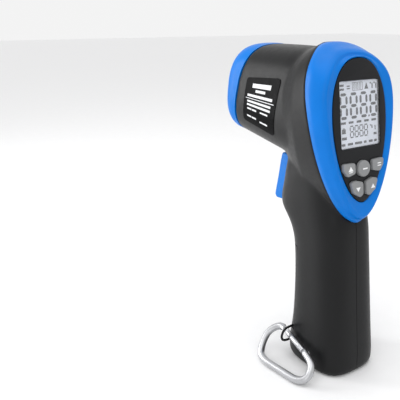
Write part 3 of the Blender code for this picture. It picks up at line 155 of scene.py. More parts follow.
# Signs round the digits: u, v, width, height as shares of the LCD
LCD_SIGNS = [
    (0.745, 0.53, 0.035, 0.028), (0.605, 0.825, 0.018, 0.013),
    (0.355, 0.03, 0.26, 0.008), (0.355, 0.142, 0.26, 0.008), (0.355, 0.03, 0.01, 0.12),
    (0.605, 0.03, 0.01, 0.12), (0.05, 0.05, 0.1, 0.03), (0.05, 0.105, 0.1, 0.03),
    (0.22, 0.07, 0.08, 0.018), (0.22, 0.105, 0.08, 0.018), (0.80, 0.045, 0.03, 0.025),
    (0.845, 0.06, 0.03, 0.08), (0.90, 0.045, 0.03, 0.025), (0.945, 0.06, 0.03, 0.08),
    (0.07, 0.70, 0.09, 0.07), (0.09, 0.685, 0.05, 0.012), (0.06, 0.82, 0.12, 0.04),
    (0.78, 0.68, 0.03, 0.02), (0.815, 0.69, 0.03, 0.05), (0.90, 0.70, 0.025, 0.07),
    (0.87, 0.81, 0.08, 0.035),
]
LCD_WORDS = (0.05, 0.24, 0.44, 0.63, 0.82)
LCD_WORD_ROW = 0.595
LCD_WORD_SIZE = (0.12, 0.034)
LCD_FOOT_WORDS = [(0.05, 0.09), (0.2, 0.13), (0.38, 0.18), (0.61, 0.07), (0.74, 0.1), (0.88, 0.07)]
LCD_FOOT_ROW = 0.915
LCD_FOOT_HEIGHT = 0.036
LCD_WARNING = [(0.66, 0.14), (0.76, 0.14), (0.71, 0.045)]

# Bezel
BEZEL_TOP_DROP = 0.7 * MM
RIDGE_HALF_WIDTH = 26.5 * MM
RIDGE_TOP = 29.0 * MM
RIDGE_BOTTOM = 64.0 * MM
RIDGE_PROUD = 2.0 * MM
RIDGE_ROLL = 4.7 * MM
RIDGE_ROLL_START = 184.0 * MM
RIDGE_ROLL_LENGTH = 15.0 * MM

# Keys
KEY_PROUD = 3.9 * MM
KEY_FLANGE = 1.2 * MM
KEY_FLANGE_THICKNESS = 1.0 * MM
KEY_ROUND_RADIUS = 4.2 * MM
KEY_HOLE_CLEARANCE = 0.35 * MM
MARK_HEIGHT = 0.02 * MM
KEY_CORNER = 1.6 * MM
KEY_GROWTH = {"measure": 0.6 * MM, "up": 0.35 * MM, "low": 0.8 * MM}
KEY_EDGE = 0.9 * MM
KEY_DOME = 0.35 * MM
SIDE_KEY_CENTRE = (11.4, -30.1)
SIDE_KEY_CORNERS = [(-4.2, -2.9), (1.4, -4.0), (4.1, -0.6), (4.6, 3.3), (-4.2, 2.9)]
LOW_KEY_CENTRE = (6.0, -42.3)
LOW_KEY_CORNERS = [(-4.2, -3.2), (-2.0, -4.6), (2.2, -1.6), (4.3, 3.6), (0.8, 4.3), (-4.2, 3.0)]
MID_KEY_CENTRE = (0.0, -31.1)

# Trigger: side profile (y, z), pivot, half-width
TRIGGER_PROFILE = [
    (30.0, 132.6),
    (44.6, 132.9),
    (46.2, 128.0),
    (48.6, 117.0),
    (51.4, 106.0),
    (52.2, 102.4),
    (50.4, 100.2),
    (44.0, 100.6),
    (36.0, 104.0),
    (31.0, 108.0),
    (28.0, 116.0),
    (26.6, 126.0),
]
TRIGGER_CORNER = 1.6 * MM
TRIGGER_HALF_WIDTH = 8.4 * MM
TRIGGER_SIDE_GAP = 0.5 * MM
TRIGGER_PIVOT = (31.0, 128.2)
TRIGGER_PIN_RADIUS = 1.5 * MM
TRIGGER_SLOT_REAR = 22.0 * MM
TRIGGER_SLOT_FRONT = 60.0 * MM
TRIGGER_SLOT_BOTTOM = 97.6 * MM
PIN_LUG_RADIUS = 3.3 * MM

# Battery door
DOOR_BOTTOM = 20.5 * MM
DOOR_TOP = 78.0 * MM
DOOR_REAR = 14.8 * MM
DOOR_BOTTOM_GAP = 1.5 * MM
DOOR_TOP_GAP = 0.9 * MM
DOOR_PIN_PLACE = (23.2, 17.0)
DOOR_PIN_RADIUS = 1.0 * MM
KNUCKLE_RADIUS = 2.3 * MM
KNUCKLE_HALF_WIDTH = 6.5 * MM
LUG_WIDTH = 3.6 * MM
RIB_HALF_LENGTH = 6.0 * MM
RIB_RADIUS = 0.5 * MM
RIB_DROP = 5.0 * MM
RIB_PITCH = 2.4 * MM

# Nose
PLATE_HALF_WIDTH = 19.6 * MM
PLATE_HALF_HEIGHT = 22.4 * MM
PLATE_DEPTH = 5.4 * MM
PLATE_THICKNESS = 2.4 * MM
NOSE_STEP = 2.0 * MM
LENS_RADIUS = 10.3 * MM
LASER_OFFSET = 15.4 * MM
LASER_RADIUS = 3.1 * MM
LASER_PROUD = 0.6 * MM
LASER_LENGTH = 17.0 * MM
LENS_BULGE = 1.3 * MM
LENS_EDGE = 1.2 * MM
OVAL_POWER = 2.2

# Label on the left flank (y, z)
LABEL_CORNERS = [(33.6, 147.0), (65.6, 153.6), (58.6, 181.2), (24.6, 183.0)]
LABEL_CORNER_RADIUS = 2.6 * MM
LABEL_GAP = 0.1 * MM
LABEL_FILM = 0.2 * MM
LABEL_STEP = 1.2 * MM
PRINT_HEIGHT = 0.03 * MM
BAR_STEPS = 8
LABEL_RINGS = 10
# Plain bars of the print: place along the label from its rear edge, place down it, width, height
LABEL_BARS = [
    (0.22, 0.13, 0.56, 0.085), (0.36, 0.255, 0.30, 0.05), (0.12, 0.36, 0.78, 0.05),
    (0.06, 0.445, 0.88, 0.014), (0.14, 0.495, 0.74, 0.04), (0.14, 0.57, 0.74, 0.04),
    (0.56, 0.66, 0.045, 0.19), (0.56, 0.66, 0.14, 0.035), (0.56, 0.825, 0.14, 0.035),
    (0.72, 0.66, 0.045, 0.19), (0.72, 0.66, 0.14, 0.035), (0.72, 0.825, 0.14, 0.035),
    (0.20, 0.66, 0.24, 0.03), (0.20, 0.85, 0.24, 0.03), (0.24, 0.66, 0.03, 0.2),
    (0.37, 0.66, 0.03, 0.2),
]

# Case screws (y, z) and their bosses
CASE_SCREWS = [(46.0, 144.8), (44.0, 193.0), (10.0, 192.5), (-8.0, 97.0), (-14.5, 12.0)]
CASE_SCREW_RADIUS = 1.4 * MM
CASE_SCREW_HEAD_RADIUS = 2.7 * MM
BOSS_RADIUS = 3.1 * MM
BOSS_FLOOR = 6.0 * MM
PILOT_DEPTH = 6.8 * MM

# Fineness of the drawn surfaces
RING_POINTS = 144
SKIN_VOXEL = 0.8 * MM
SKIN_SMOOTHING = 26
SHARP_ANGLE = 35.0
TURNED_POINTS = 72
LENS_STEPS = 14
BEZEL_STEPS = 6
NOSE_STEPS = 8
BEND_STEPS = 14

# Camera: place, downward pitch, and turn about Z from looking along +Y
CAMERA_PLACE = (-0.2318, -0.2384, 0.2168)
CAMERA_PITCH = math.radians(18.0)
CAMERA_AZIMUTH = math.radians(-36.0)
CAMERA_LENS = 50.4
CAMERA_SHIFT = -0.15
FLOOR_HALF_WIDTH = 6.0

# Carabiner, in its own leaning plane
WIRE_RADIUS = 2.4 * MM
LEAN_PLACE = (17.9, 18.5)
SPINE_START = (23.05, 17.7)
SPINE_END = (19.95, -13.5)
CARABINER_LEAN = math.radians(40)
GATE_PIVOT = (1.5, 24.2)
GATE_NOSE = (24.2, 17.4)
GATE_RADIUS = 2.0 * MM
GATE_PIN_RADIUS = 0.6 * MM
HOOK_CORNERS = [
    (-5.5, 25.6), (-11.6, 17.0), (-7.2, 3.2), (0.0, 0.0), (30.5, 0.0), (36.4, 5.0), (33.0, 14.0)
]
LONG_SIDE = 20 * MM
SPINE_BEND = 6 * MM
BAR_START = 3.0 * MM
BAR_STOP = 2.0 * MM
# Blocks at the ends of the gate, in mm: range along it, range across it, half its depth
FORK_ROOM = ((-3.2, 8.0), (-5.0, 5.0), 1.5)
HOOK_ROOM = ((-5.0, 2.6), (-5.0, 5.0), 0.95)
TANG = ((-1.4, 4.5), (-1.5, 1.5), 1.2)
TONGUE = ((-3.0, 0.9), (-1.2, 1.2), 0.6)
EYE_WIRE = 0.8 * MM
EYE_HALF_SPAN = 5.6 * MM
EYE_PLACE = 3.2 * MM
EYE_SHIFT = 0.4 * MM
EYE_STEPS = 28

COLLECTION = bpy.context.scene.collection


# Outlines ---------------------------------------------------------------------------------------


def spline(points, at):
    """The value at a position on a smooth curve through (position, value) pairs."""
    last = len(points) - 2
    index = max(0, min(last, sum(1 for p in points if p[0] <= at) - 1))
    (x0, y0), (x1, y1) = points[index], points[index + 1]

    def slope(k):
        low = points[max(0, k - 1)]
        high = points[min(len(points) - 1, k + 1)]
        return (high[1] - low[1]) / (high[0] - low[0])

    span = x1 - x0
    t = (at - x0) / span
    return (
        (2 * t**3 - 3 * t**2 + 1) * y0
        + (t**3 - 2 * t**2 + t) * span * slope(index)
        + (3 * t**2 - 2 * t**3) * y1
        + (t**3 - t**2) * span * slope(index + 1)
    )


def power_ring(half_width, top, bottom, powers, count=RING_POINTS):
    """(x, v) points of a closed superellipse whose upper and lower halves may differ."""
    ring = []
    for k in range(count):
        angle = 2 * math.pi * k / count
        across = math.sin(angle)
        upright = math.cos(angle)
        power = powers[0] if upright >= 0 else powers[1]
        reach = top if upright >= 0 else bottom
        x = half_width * math.copysign(abs(across) ** (2 / power), across)
        v = reach * math.copysign(abs(upright) ** (2 / power), upright)
        ring.append((0.0 if k in (0, count // 2) else x, v))
    return ring


def rounded(corners, radius, steps=8):
    """A polygon with each corner turned into an arc of the given radius."""
    outline = []
    count = len(corners)
    for k in range(count):
        here = Vector(corners[k])
        back = Vector(corners[k - 1]) - here
        ahead = Vector(corners[(k + 1) % count]) - here
        half = back.angle(ahead) / 2
        reach = min(radius / math.tan(half), back.length * 0.45, ahead.length * 0.45)
        start = here + back.normalized() * reach
        end = here + ahead.normalized() * reach
        for step in range(steps + 1):
            t = step / steps
            outline.append((1 - t) ** 2 * start + 2 * t * (1 - t) * here + t**2 * end)
    return outline


def rectangle(width, height, radius, centre=(0.0, 0.0)):
    half_w, half_h = width / 2, height / 2
    corners = [(-half_w, -half_h), (half_w, -half_h), (half_w, half_h), (-half_w, half_h)]
    corners = [(x + centre[0], z + centre[1]) for x, z in corners]
    return rounded(corners, radius) if radius else [Vector(c) for c in corners]


def circle(radius, count=64):
    return [
        (radius * math.sin(2 * math.pi * k / count), radius * math.cos(2 * math.pi * k / count))
        for k in range(count)
    ]


def smooth_rings(rings, steps):
    """Rings with others between them, on smooth curves through the points of the same index."""
    result = []
    last = len(rings) - 1
    for index in range(last):
        for step in range(steps):
            t = step / steps
            ring = []
            for k in range(len(rings[0])):
                p1, p2 = rings[index][k], rings[index + 1][k]
                p0 = rings[index - 1][k] if index else 2 * p1 - p2
                p3 = rings[index + 2][k] if index + 2 <= last else 2 * p2 - p1
                ring.append(
                    0.5
                    * (
                        2 * p1
                        + (p2 - p0) * t
                        + (2 * p0 - 5 * p1 + 4 * p2 - p3) * t**2
                        + (3 * p1 - p0 - 3 * p2 + p3) * t**3
                    )
                )
            result.append(ring)
    result.append(rings[-1])
    return result


# Solids -----------------------------------------------------------------------------------------


def shade(mesh, sharp_angle):
    """Smooth shading with sharp edges above the angle, in degrees."""
    mesh.shade_smooth()
    mesh.set_sharp_from_angle(angle=math.radians(sharp_angle))


def piece(name, mesh):
    """A new object with smooth shading and sharp edges."""
    mesh.name = name
    shade(mesh, SHARP_ANGLE)
    made = bpy.data.objects.new(name, mesh)
    COLLECTION.objects.link(made)
    return made


def from_bmesh(name, bm):
    bmesh.ops.recalc_face_normals(bm, faces=bm.faces)
    mesh = bpy.data.meshes.new(name)
    bm.to_mesh(mesh)
    bm.free()
    return piece(name, mesh)


def join_rows(bm, rows, closed=False):
    """Faces between each row of points and the next; a row of one point is a pole."""
    pairs = list(zip(rows, rows[1:]))
    if closed:
        pairs.append((rows[-1], rows[0]))
    for near, far in pairs:
        count = max(len(near), len(far))
        for k in range(count if count > 1 else 0):
            n = (k + 1) % count
            corners = near[k % len(near)], near[n % len(near)], far[n % len(far)], far[k % len(far)]
            bm.faces.new(list(dict.fromkeys(corners)))


def loft(name, rings, closed=False):
    """A solid through rings of equal count; closed joins the last ring to the first."""
    bm = bmesh.new()
    rows = [[bm.verts.new(point) for point in ring] for ring in rings]
    join_rows(bm, rows, closed)
    if not closed:
        cap_with_strips(bm, rows[0])
        cap_with_strips(bm, rows[-1])
    return from_bmesh(name, bm)


def cap_with_strips(bm, row):
    """A cap of strips between the mirrored points of an even row."""
    count = len(row)
    middle = count // 2
    bm.faces.new((row[0], row[1], row[-1]))
    for k in range(1, middle - 1):
        bm.faces.new((row[k], row[k + 1], row[count - k - 1], row[count - k]))
    bm.faces.new((row[middle], row[middle + 1], row[middle - 1]))


def add_flat_ended(bm, rings):
    """Adds a solid through rings, with one flat face at each end."""
    rows = [[bm.verts.new(point) for point in ring] for ring in rings]
    join_rows(bm, rows)
    bm.faces.new(rows[0])
    bm.faces.new(rows[-1])


def flat_ended(name, rings, place=Matrix.Identity(4)):
    bm = bmesh.new()
    add_flat_ended(bm, [[place @ point for point in ring] for ring in rings])
    return from_bmesh(name, bm)


def drawn_out(outline, near, far, axis="Y"):
    """The two end rings of an outline drawn out along Y, or along X for an outline of (y, z)."""
    return [
        [Vector((u, depth, v)) if axis == "Y" else Vector((depth, u, v)) for u, v in outline]
        for depth in (near, far)
    ]


def prism(name, outline, near, far, place=Matrix.Identity(4), axis="Y"):
    return flat_ended(name, drawn_out(outline, near, far, axis), place)


def box(name, low, high):
    """A box between two corners, for cutting."""
    outline = [(low[0], low[2]), (high[0], low[2]), (high[0], high[2]), (low[0], high[2])]
    return prism(name, outline, low[1], high[1])


def cylinder(name, radius, start, end, count=48):
    """A cylinder from start to end, for cutting and joining."""
    start, end = Vector(start), Vector(end)
    bm = bmesh.new()
    length = (end - start).length
    bmesh.ops.create_cone(
        bm, cap_ends=True, segments=count, radius1=radius, radius2=radius, depth=length
    )
    turn = (end - start).to_track_quat("Z", "Y").to_matrix().to_4x4()
    bmesh.ops.transform(bm, matrix=Matrix.Translation((start + end) / 2) @ turn, verts=bm.verts)
    return from_bmesh(name, bm)


def turned(name, profile, place):
    """A closed profile of (radius, y) points turned about the Y axis of a place."""
    bm = bmesh.new()
    angles = [2 * math.pi * k / TURNED_POINTS for k in range(TURNED_POINTS)]
    turns = [(math.cos(angle), math.sin(angle)) for angle in angles]
    rows = [
        [
            bm.verts.new(place @ Vector((radius * across, y, radius * upright)))
            for across, upright in (turns if radius else [(0.0, 0.0)])
        ]
        for radius, y in profile
    ]
    join_rows(bm, rows, closed=True)
    return from_bmesh(name, bm)


def wire(name, points, radius, sides=6):
    """A round wire through the points, with closed ends."""
    curve = bpy.data.curves.new(name, "CURVE")
    curve.dimensions = "3D"
    curve.bevel_depth = radius
    curve.bevel_resolution = sides
    curve.use_fill_caps = True
    line = curve.splines.new("POLY")
    line.points.add(len(points) - 1)
    for control, point in zip(line.points, points):
        control.co = (*point, 1.0)
    drawn = bpy.data.objects.new(name + "_line", curve)
    COLLECTION.objects.link(drawn)
    mesh = settled_mesh(drawn)
    remove(drawn)
    bm = bmesh.new()
    bm.from_mesh(mesh)
    bmesh.ops.remove_doubles(bm, verts=bm.verts, dist=1e-6)
    return from_bmesh(name, bm)


def settled_mesh(source):
    """The evaluated mesh of an object with its modifiers applied, in world space."""
    bpy.context.view_layer.update()
    graph = bpy.context.evaluated_depsgraph_get()
    mesh = bpy.data.meshes.new_from_object(source.evaluated_get(graph))
    mesh.transform(source.matrix_world)
    return mesh


def remove(*objects):
    for old in objects:
        bpy.data.objects.remove(old, do_unlink=True)


def apply(target, sharp_angle=SHARP_ANGLE):
    """Applies a piece's modifiers to its mesh."""
    mesh = settled_mesh(target)
    target.modifiers.clear()
    target.data = mesh
    shade(mesh, sharp_angle)
    return target


def combine(target, operation, *others, solver="MANIFOLD"):
    """Joins, cuts or intersects the target with other solids, and removes those."""
    for other in others:
        step = target.modifiers.new(operation.lower(), "BOOLEAN")
        step.operation = operation
        step.object = other
        step.solver = solver
    apply(target)
    remove(*others)
    return target


def copy_of(source, name):
    return piece(name, source.data.copy())


def soften(target, width, segments=3, angle=40.0):
    """Rounds the edges of a piece that are sharper than the angle."""
    bevel = target.modifiers.new("rounded_edges", "BEVEL")
    bevel.width = width
    bevel.segments = segments
    bevel.limit_method = "ANGLE"
    bevel.angle_limit = math.radians(angle)
    return apply(target, 30.0)


def keep_inside(target):
    """Pulls back any point that smoothing has moved out of the CAD model's box."""
    low, high = CAD_BOX
    for vertex in target.data.vertices:
        for axis in range(3):
            vertex.co[axis] = min(max(vertex.co[axis], low[axis]), high[axis])


# Materials --------------------------------------------------------------------------------------


def surface(
    name, colour, roughness, metallic=0.0, mottle=0.06, grain=0.25, grain_scale=2600.0,
    stretch=(1.0, 1.0, 1.0), sockets=None,
):
    """A Principled material whose colour, gloss and fine relief vary over the piece."""
    material = bpy.data.materials.new(name)
    material.use_nodes = True
    nodes, links = material.node_tree.nodes, material.node_tree.links
    shader = nodes["Principled BSDF"]
    shader.inputs["Metallic"].default_value = metallic
    for socket, value in (sockets or {}).items():
        shader.inputs[socket].default_value = value
    place = nodes.new("ShaderNodeTexCoord").outputs["Object"]
    scaled = nodes.new("ShaderNodeMapping")
    scaled.inputs["Scale"].default_value = stretch
    links.new(place, scaled.inputs["Vector"])

    def noise(scale, detail):
        texture = nodes.new("ShaderNodeTexNoise")
        texture.inputs["Scale"].default_value = scale
        texture.inputs["Detail"].default_value = detail
        links.new(scaled.outputs["Vector"], texture.inputs["Vector"])
        return texture.outputs["Fac"]

    def spread(source, low, high):
        span = nodes.new("ShaderNodeMapRange")
        span.inputs["From Min"].default_value = 0.3
        span.inputs["From Max"].default_value = 0.7
        span.inputs["To Min"].default_value = low
        span.inputs["To Max"].default_value = high
        links.new(source, span.inputs["Value"])
        return span.outputs["Result"]

    blend = nodes.new("ShaderNodeMix")
    blend.data_type = "RGBA"
    blend.inputs["A"].default_value = (*(c * (1 - mottle) for c in colour), 1.0)
    blend.inputs["B"].default_value = (*(min(1.0, c * (1 + mottle)) for c in colour), 1.0)
    links.new(spread(noise(70.0, 4.0), 0.0, 1.0), blend.inputs["Factor"])
    links.new(blend.outputs["Result"], shader.inputs["Base Color"])
    gloss = spread(noise(420.0, 3.0), roughness * 0.88, roughness * 1.12)
    links.new(gloss, shader.inputs["Roughness"])
    bump = nodes.new("ShaderNodeBump")
    bump.inputs["Strength"].default_value = grain
    bump.inputs["Distance"].default_value = 0.05 * MM
    links.new(noise(grain_scale, 2.0), bump.inputs["Height"])
    links.new(bump.outputs["Normal"], shader.inputs["Normal"])
    return material


SATIN = {"Specular IOR Level": 0.2}
SOFT_GLOSS = {"Specular IOR Level": 0.16}
RUBBERY = {"Specular IOR Level": 0.4}
DULL = {"Specular IOR Level": 0.03}
COATED = {"Coat Weight": 1.0}
CLEAR = {"Alpha": 0.1}
SHELL = surface(
    "charcoal_shell", (0.0065, 0.0067, 0.0072), 0.38, mottle=0.08, grain=0.5, sockets=SATIN
)
BLUE = surface("blue_plastic", (0.0, 0.165, 0.6), 0.36, mottle=0.04, grain=0.25, sockets=SOFT_GLOSS)
PANEL = surface("panel_plastic", (0.0085, 0.009, 0.0105), 0.38, grain=0.35, sockets=SATIN)
BLACK_PLASTIC = surface("black_moulding", (0.008, 0.008, 0.009), 0.45, grain=0.3)
WHITE_PLASTIC = surface("white_diffuser", (0.75, 0.76, 0.76), 0.4, mottle=0.03)
KEY_RUBBER = surface("grey_rubber", (0.235, 0.24, 0.245), 0.55, grain=0.6, sockets=RUBBERY)
KEY_INK = surface("white_print", (0.8, 0.81, 0.82), 0.5, mottle=0.03, grain=0.1)
WINDOW = surface("clear_window", (0.85, 0.87, 0.9), 0.08, mottle=0.02, grain=0.02, sockets=CLEAR)
# Painted glow: the LCD face gives off a little light of its own, to make up for light lost in the clear
# window
LCD_PAINTED_GLOW = {"Emission Color": (0.62, 0.66, 0.74, 1.0), "Emission Strength": 0.06}
LCD_GLASS = surface("lcd_face", (0.60, 0.63, 0.70), 0.35, mottle=0.05, grain=0.03, sockets=LCD_PAINTED_GLOW)
LCD_INK = surface("lcd_segment", (0.012, 0.012, 0.016), 0.4, mottle=0.1, grain=0.03)
BOARD = surface("solder_mask", (0.01, 0.12, 0.05), 0.35, mottle=0.25, grain=0.5, grain_scale=900.0)
STEEL = surface("plated_steel", (0.55, 0.56, 0.57), 0.3, 1.0, grain=0.2, stretch=(4.0, 1.0, 1.0))
SPRING_STEEL = surface("spring_wire", (0.48, 0.48, 0.5), 0.35, 1.0, grain=0.2)
BRASS = surface("turned_brass", (0.6, 0.42, 0.16), 0.28, 1.0, grain=0.2, stretch=(1.0, 5.0, 1.0))
JACKET = surface("battery_jacket", (0.3, 0.31, 0.33), 0.3, 0.8, mottle=0.1)
LENS = surface("coated_lens", (0.012, 0.016, 0.03), 0.06, mottle=0.2, grain=0.0, sockets=COATED)
LABEL = surface("label_film", (0.0015, 0.0015, 0.002), 0.3, grain=0.06, sockets=DULL)
LABEL_INK = surface("label_print", (0.74, 0.75, 0.77), 0.4, mottle=0.04, grain=0.1)
ALUMINIUM = surface(
    "satin_aluminium", (0.5, 0.505, 0.52), 0.34, 1.0, mottle=0.04, grain=0.35, grain_scale=1500.0,
    stretch=(1.0, 1.0, 3.0),
)


def show(part, body, material, slot, *nodes):
    """Gives a piece its material and body, and hides the CAD nodes that it stands for; slot is not
    used.
    """
    part.data.materials.clear()
    part.data.materials.append(material)
    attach(part, body)
    if nodes:
        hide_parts(*nodes)


def finish_cad_nodes():
    """Materials for the pieces whose CAD shape is shown as it is."""
    finishes = [
        (WHITE_PLASTIC, ("lcd_backlight", "switch_plunger")),
        (KEY_RUBBER, ("keypad_mat",)),
        (BOARD, ("main_board", "sensor_board")),
        (BLACK_PLASTIC, ("buzzer", "trigger_switch", "battery_snap", "optical_tube", "laser_bracket")),
        (STEEL, ("trigger_pin", "door_pin", "gate_pin", "thermopile")),
        (STEEL, tuple(f"case_screw_{k}" for k in range(1, 6))),
        (STEEL, tuple(f"board_screw_{k}" for k in range(1, 4))),
        (SPRING_STEEL, ("trigger_spring",)),
        (JACKET, ("battery",)),
    ]
    for material, names in finishes:
        for name in names:
            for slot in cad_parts[name].material_slots:
                slot.material = material


# Housing ----------------------------------------------------------------------------------------


def border_y(z):
    """Depth of the line where the bezel meets the shells, at a height."""
    return spline(BORDER_LINE, z / MM) * MM


def display_y(z):
    """Depth of the LCD plane at a height."""
    return DISPLAY_CENTRE.y + math.tan(DISPLAY_TILT) * (z - DISPLAY_CENTRE.z)


def ridge_y(z):
    """Depth of the bezel's highest line, which rolls forward over the top of the head."""
    roll = max(0.0, (z - RIDGE_ROLL_START) / RIDGE_ROLL_LENGTH)
    return display_y(z) - RIDGE_PROUD + RIDGE_ROLL * roll * roll


def head_ring(scale, depth, inset=0.0, top_drop=0.0):
    """A ring of the head's egg outline; depth gives y from z."""
    outline = power_ring(
        HEAD_HALF_WIDTH * scale - inset,
        HEAD_TOP * scale - inset - top_drop,
        HEAD_BOTTOM * scale - inset,
        EGG_POWERS,
    )
    return [Vector((x, depth(HEAD_CENTRE_Z + v), HEAD_CENTRE_Z + v)) for x, v in outline]


def head_form(name, inset=0.0, start=border_y):
    rings = [
        head_ring(1.0, start, inset),
        head_ring(HEAD_RIM_SCALE, lambda z: max(HEAD_RIM_Y, border_y(z) + 3.5 * MM), inset),
        head_ring(COLLAR_SCALE, lambda z: max(COLLAR_Y, border_y(z) + 7.0 * MM), inset),
        head_ring(0.62, lambda z: 40.0 * MM, inset),
    ]
    return loft(name, rings)


def slanted_ring(section, inset=0.0, ahead=0.0):
    """A ring in the plane through a section's top and bottom points, moved ahead along Y."""
    top, bottom, half_width = section
    top = Vector((0.0, top[0] * MM + ahead, top[1] * MM))
    bottom = Vector((0.0, bottom[0] * MM + ahead, bottom[1] * MM))
    centre = (top + bottom) / 2
    upright = top - centre
    reach = upright.length - inset
    upright.normalize()
    outline = power_ring(half_width * MM - inset, reach, reach, (BARREL_POWER, BARREL_POWER))
    return [centre + upright * v + Vector((x, 0.0, 0.0)) for x, v in outline]


def barrel_form(name, inset=0.0, ahead=0.0):
    sections = (BARREL_REAR, BARREL_COLLAR, BARREL_MIDDLE, BARREL_FRONT)
    rings = [slanted_ring(section, inset) for section in sections]
    if ahead:
        rings.append(slanted_ring(BARREL_FRONT, inset, ahead))
    return loft(name, rings)


def handle_section(z):
    """Rear, front and half-width of the handle at a height."""
    return [spline([(s[0], s[k]) for s in HANDLE_SECTIONS], z / MM) * MM for k in (1, 2, 3)]


def handle_ring(z, inset=0.0):
    """A level ring of the handle at a height."""
    rear, front, half_width = handle_section(z)
    reach = (front - rear) / 2 - inset
    outline = power_ring(half_width - inset, reach, reach, (HANDLE_POWER, HANDLE_POWER))
    return [Vector((x, (rear + front) / 2 + v, z)) for x, v in outline]


def handle_form(name, inset=0.0):
    heights = [s[0] for s in HANDLE_SECTIONS]
    steps = int(heights[-1] / HANDLE_STEP)
    levels = [inset] + [k * HANDLE_STEP * MM for k in range(steps + 1) if k * HANDLE_STEP * MM > inset]
    if not inset:
        levels = [h * MM for h in heights[:4]] + [z for z in levels if z > heights[3] * MM]
    return loft(name, [handle_ring(z, inset) for z in levels])


def smooth_skin():
    """Handle, head and barrel blended into one form with soft creases between them."""
    skin = combine(handle_form("skin"), "UNION", head_form("skin_head"), barrel_form("skin_barrel"))
    remesh = skin.modifiers.new("even_mesh", "REMESH")
    remesh.mode = "VOXEL"
    remesh.voxel_size = SKIN_VOXEL
    smooth = skin.modifiers.new("soft_creases", "SMOOTH")
    smooth.factor = 0.5
    smooth.iterations = SKIN_SMOOTHING
    apply(skin)
    keep_inside(skin)
    return skin


def hollow_form(name):
    """The room inside the housing."""
    return combine(
        handle_form(name, WALL),
        "UNION",
        head_form(name + "_head", WALL, lambda z: border_y(z) - 3.0 * MM),
        barrel_form(name + "_barrel", WALL, 20.0 * MM),
    )


def bezel_seat():
    rings = [
        head_ring(1.0, lambda z: border_y(z) - 30.0 * MM, -GAP),
        head_ring(1.0, lambda z: border_y(z) + GAP, -GAP),
    ]
    return loft("bezel_seat", rings)


def nose_room():
    """Everything ahead of the barrel's front edge."""
    rings = [slanted_ring(BARREL_FRONT, -8 * MM), slanted_ring(BARREL_FRONT, -8 * MM, 30 * MM)]
    return loft("nose_room", rings)


def boss(name, place, side, start, radius, skin_inner):
    """A boss from beside the middle plane out to the wall."""
    y, z = place[0] * MM, place[1] * MM
    post = cylinder(name, radius, (side * start, y, z), (side * HEAD_HALF_WIDTH, y, z))
    return combine(post, "INTERSECT", copy_of(skin_inner, name + "_limit"))


def housing():
    """The two shells and the battery door, cut from one hollow skin, whose surface it returns."""
    skin = smooth_skin()
    surface_tree = BVHTree.FromPolygons(
        [v.co for v in skin.data.vertices], [p.vertices for p in skin.data.polygons]
    )
    limit = copy_of(skin, "wall_limit")
    shrink = limit.modifiers.new("half_wall", "DISPLACE")
    shrink.strength = -WALL / 2
    shrink.mid_level = 0.0
    apply(limit)
    combine(skin, "DIFFERENCE", hollow_form("room"), bezel_seat(), nose_room())
    door = battery_door(copy_of(skin, "door_skin"))
    near = TRIGGER_HALF_WIDTH + TRIGGER_SIDE_GAP
    slot = box(
        "trigger_slot",
        (-near, TRIGGER_SLOT_REAR, TRIGGER_SLOT_BOTTOM),
        (near, TRIGGER_SLOT_FRONT, BARREL_COLLAR[1][1] * MM - GAP),
    )
    lugs = [
        boss(f"lug_{side}", TRIGGER_PIVOT, side, near - 1.0 * MM, PIN_LUG_RADIUS, limit)
        for side in (-1, 1)
    ]
    combine(skin, "UNION", *lugs)
    combine(skin, "DIFFERENCE", slot, *door_opening())
    for side, name in ((-1, "left_shell"), (1, "right_shell")):
        shell = copy_of(skin, name + "_skin")
        bosses = [
            boss(f"{name}_boss_{k}", place, side, -1.0 * MM, BOSS_RADIUS, limit)
            for k, place in enumerate(CASE_SCREWS)
        ]
        combine(shell, "UNION", *bosses)
        span = sorted((side * SEAM, side * BEYOND))
        half = box(name + "_half", (span[0], -BEYOND, -BEYOND), (span[1], BEYOND, BEYOND))
        combine(shell, "INTERSECT", half)
        finish_shell(shell, side)
        show(shell, "housing", SHELL, "shell", name)
    remove(skin, limit)
    show(door, "battery_door", SHELL, "shell", "battery_door")
    return surface_tree


def finish_shell(shell, side):
    """Door lug, pin holes and screw holes of one shell."""
    y, z = DOOR_PIN_PLACE[0] * MM, DOOR_PIN_PLACE[1] * MM
    low = KNUCKLE_HALF_WIDTH + 2 * GAP
    span = sorted((side * low, side * (low + LUG_WIDTH)))
    lug = box(
        "door_lug",
        (span[0], y - 2.6 * MM, z - 3.4 * MM),
        (span[1], y + 1.4 * MM, DOOR_BOTTOM - DOOR_BOTTOM_GAP - 0.2 * MM),
    )
    combine(shell, "UNION", lug)
    cutters = [
        cylinder("pin_hole", DOOR_PIN_RADIUS + GAP, (0.0, y, z), (side * 10.0 * MM, y, z)),
        cylinder(
            "trigger_pin_hole",
            TRIGGER_PIN_RADIUS + GAP,
            (0.0, TRIGGER_PIVOT[0] * MM, TRIGGER_PIVOT[1] * MM),
            (side * 13.2 * MM, TRIGGER_PIVOT[0] * MM, TRIGGER_PIVOT[1] * MM),
        ),
    ]
    for place in CASE_SCREWS:
        y, z = place[0] * MM, place[1] * MM
        radius = CASE_SCREW_RADIUS + GAP
        if side < 0:
            cutters.append(cylinder("pilot", radius, (1.0 * MM, y, z), (-PILOT_DEPTH, y, z)))
            continue
        cutters.append(cylinder("hole", radius, (-1.0 * MM, y, z), (BEYOND, y, z)))
        head = CASE_SCREW_HEAD_RADIUS + GAP
        cutters.append(cylinder("counterbore", head, (BOSS_FLOOR, y, z), (BEYOND, y, z)))
    combine(shell, "DIFFERENCE", *cutters)


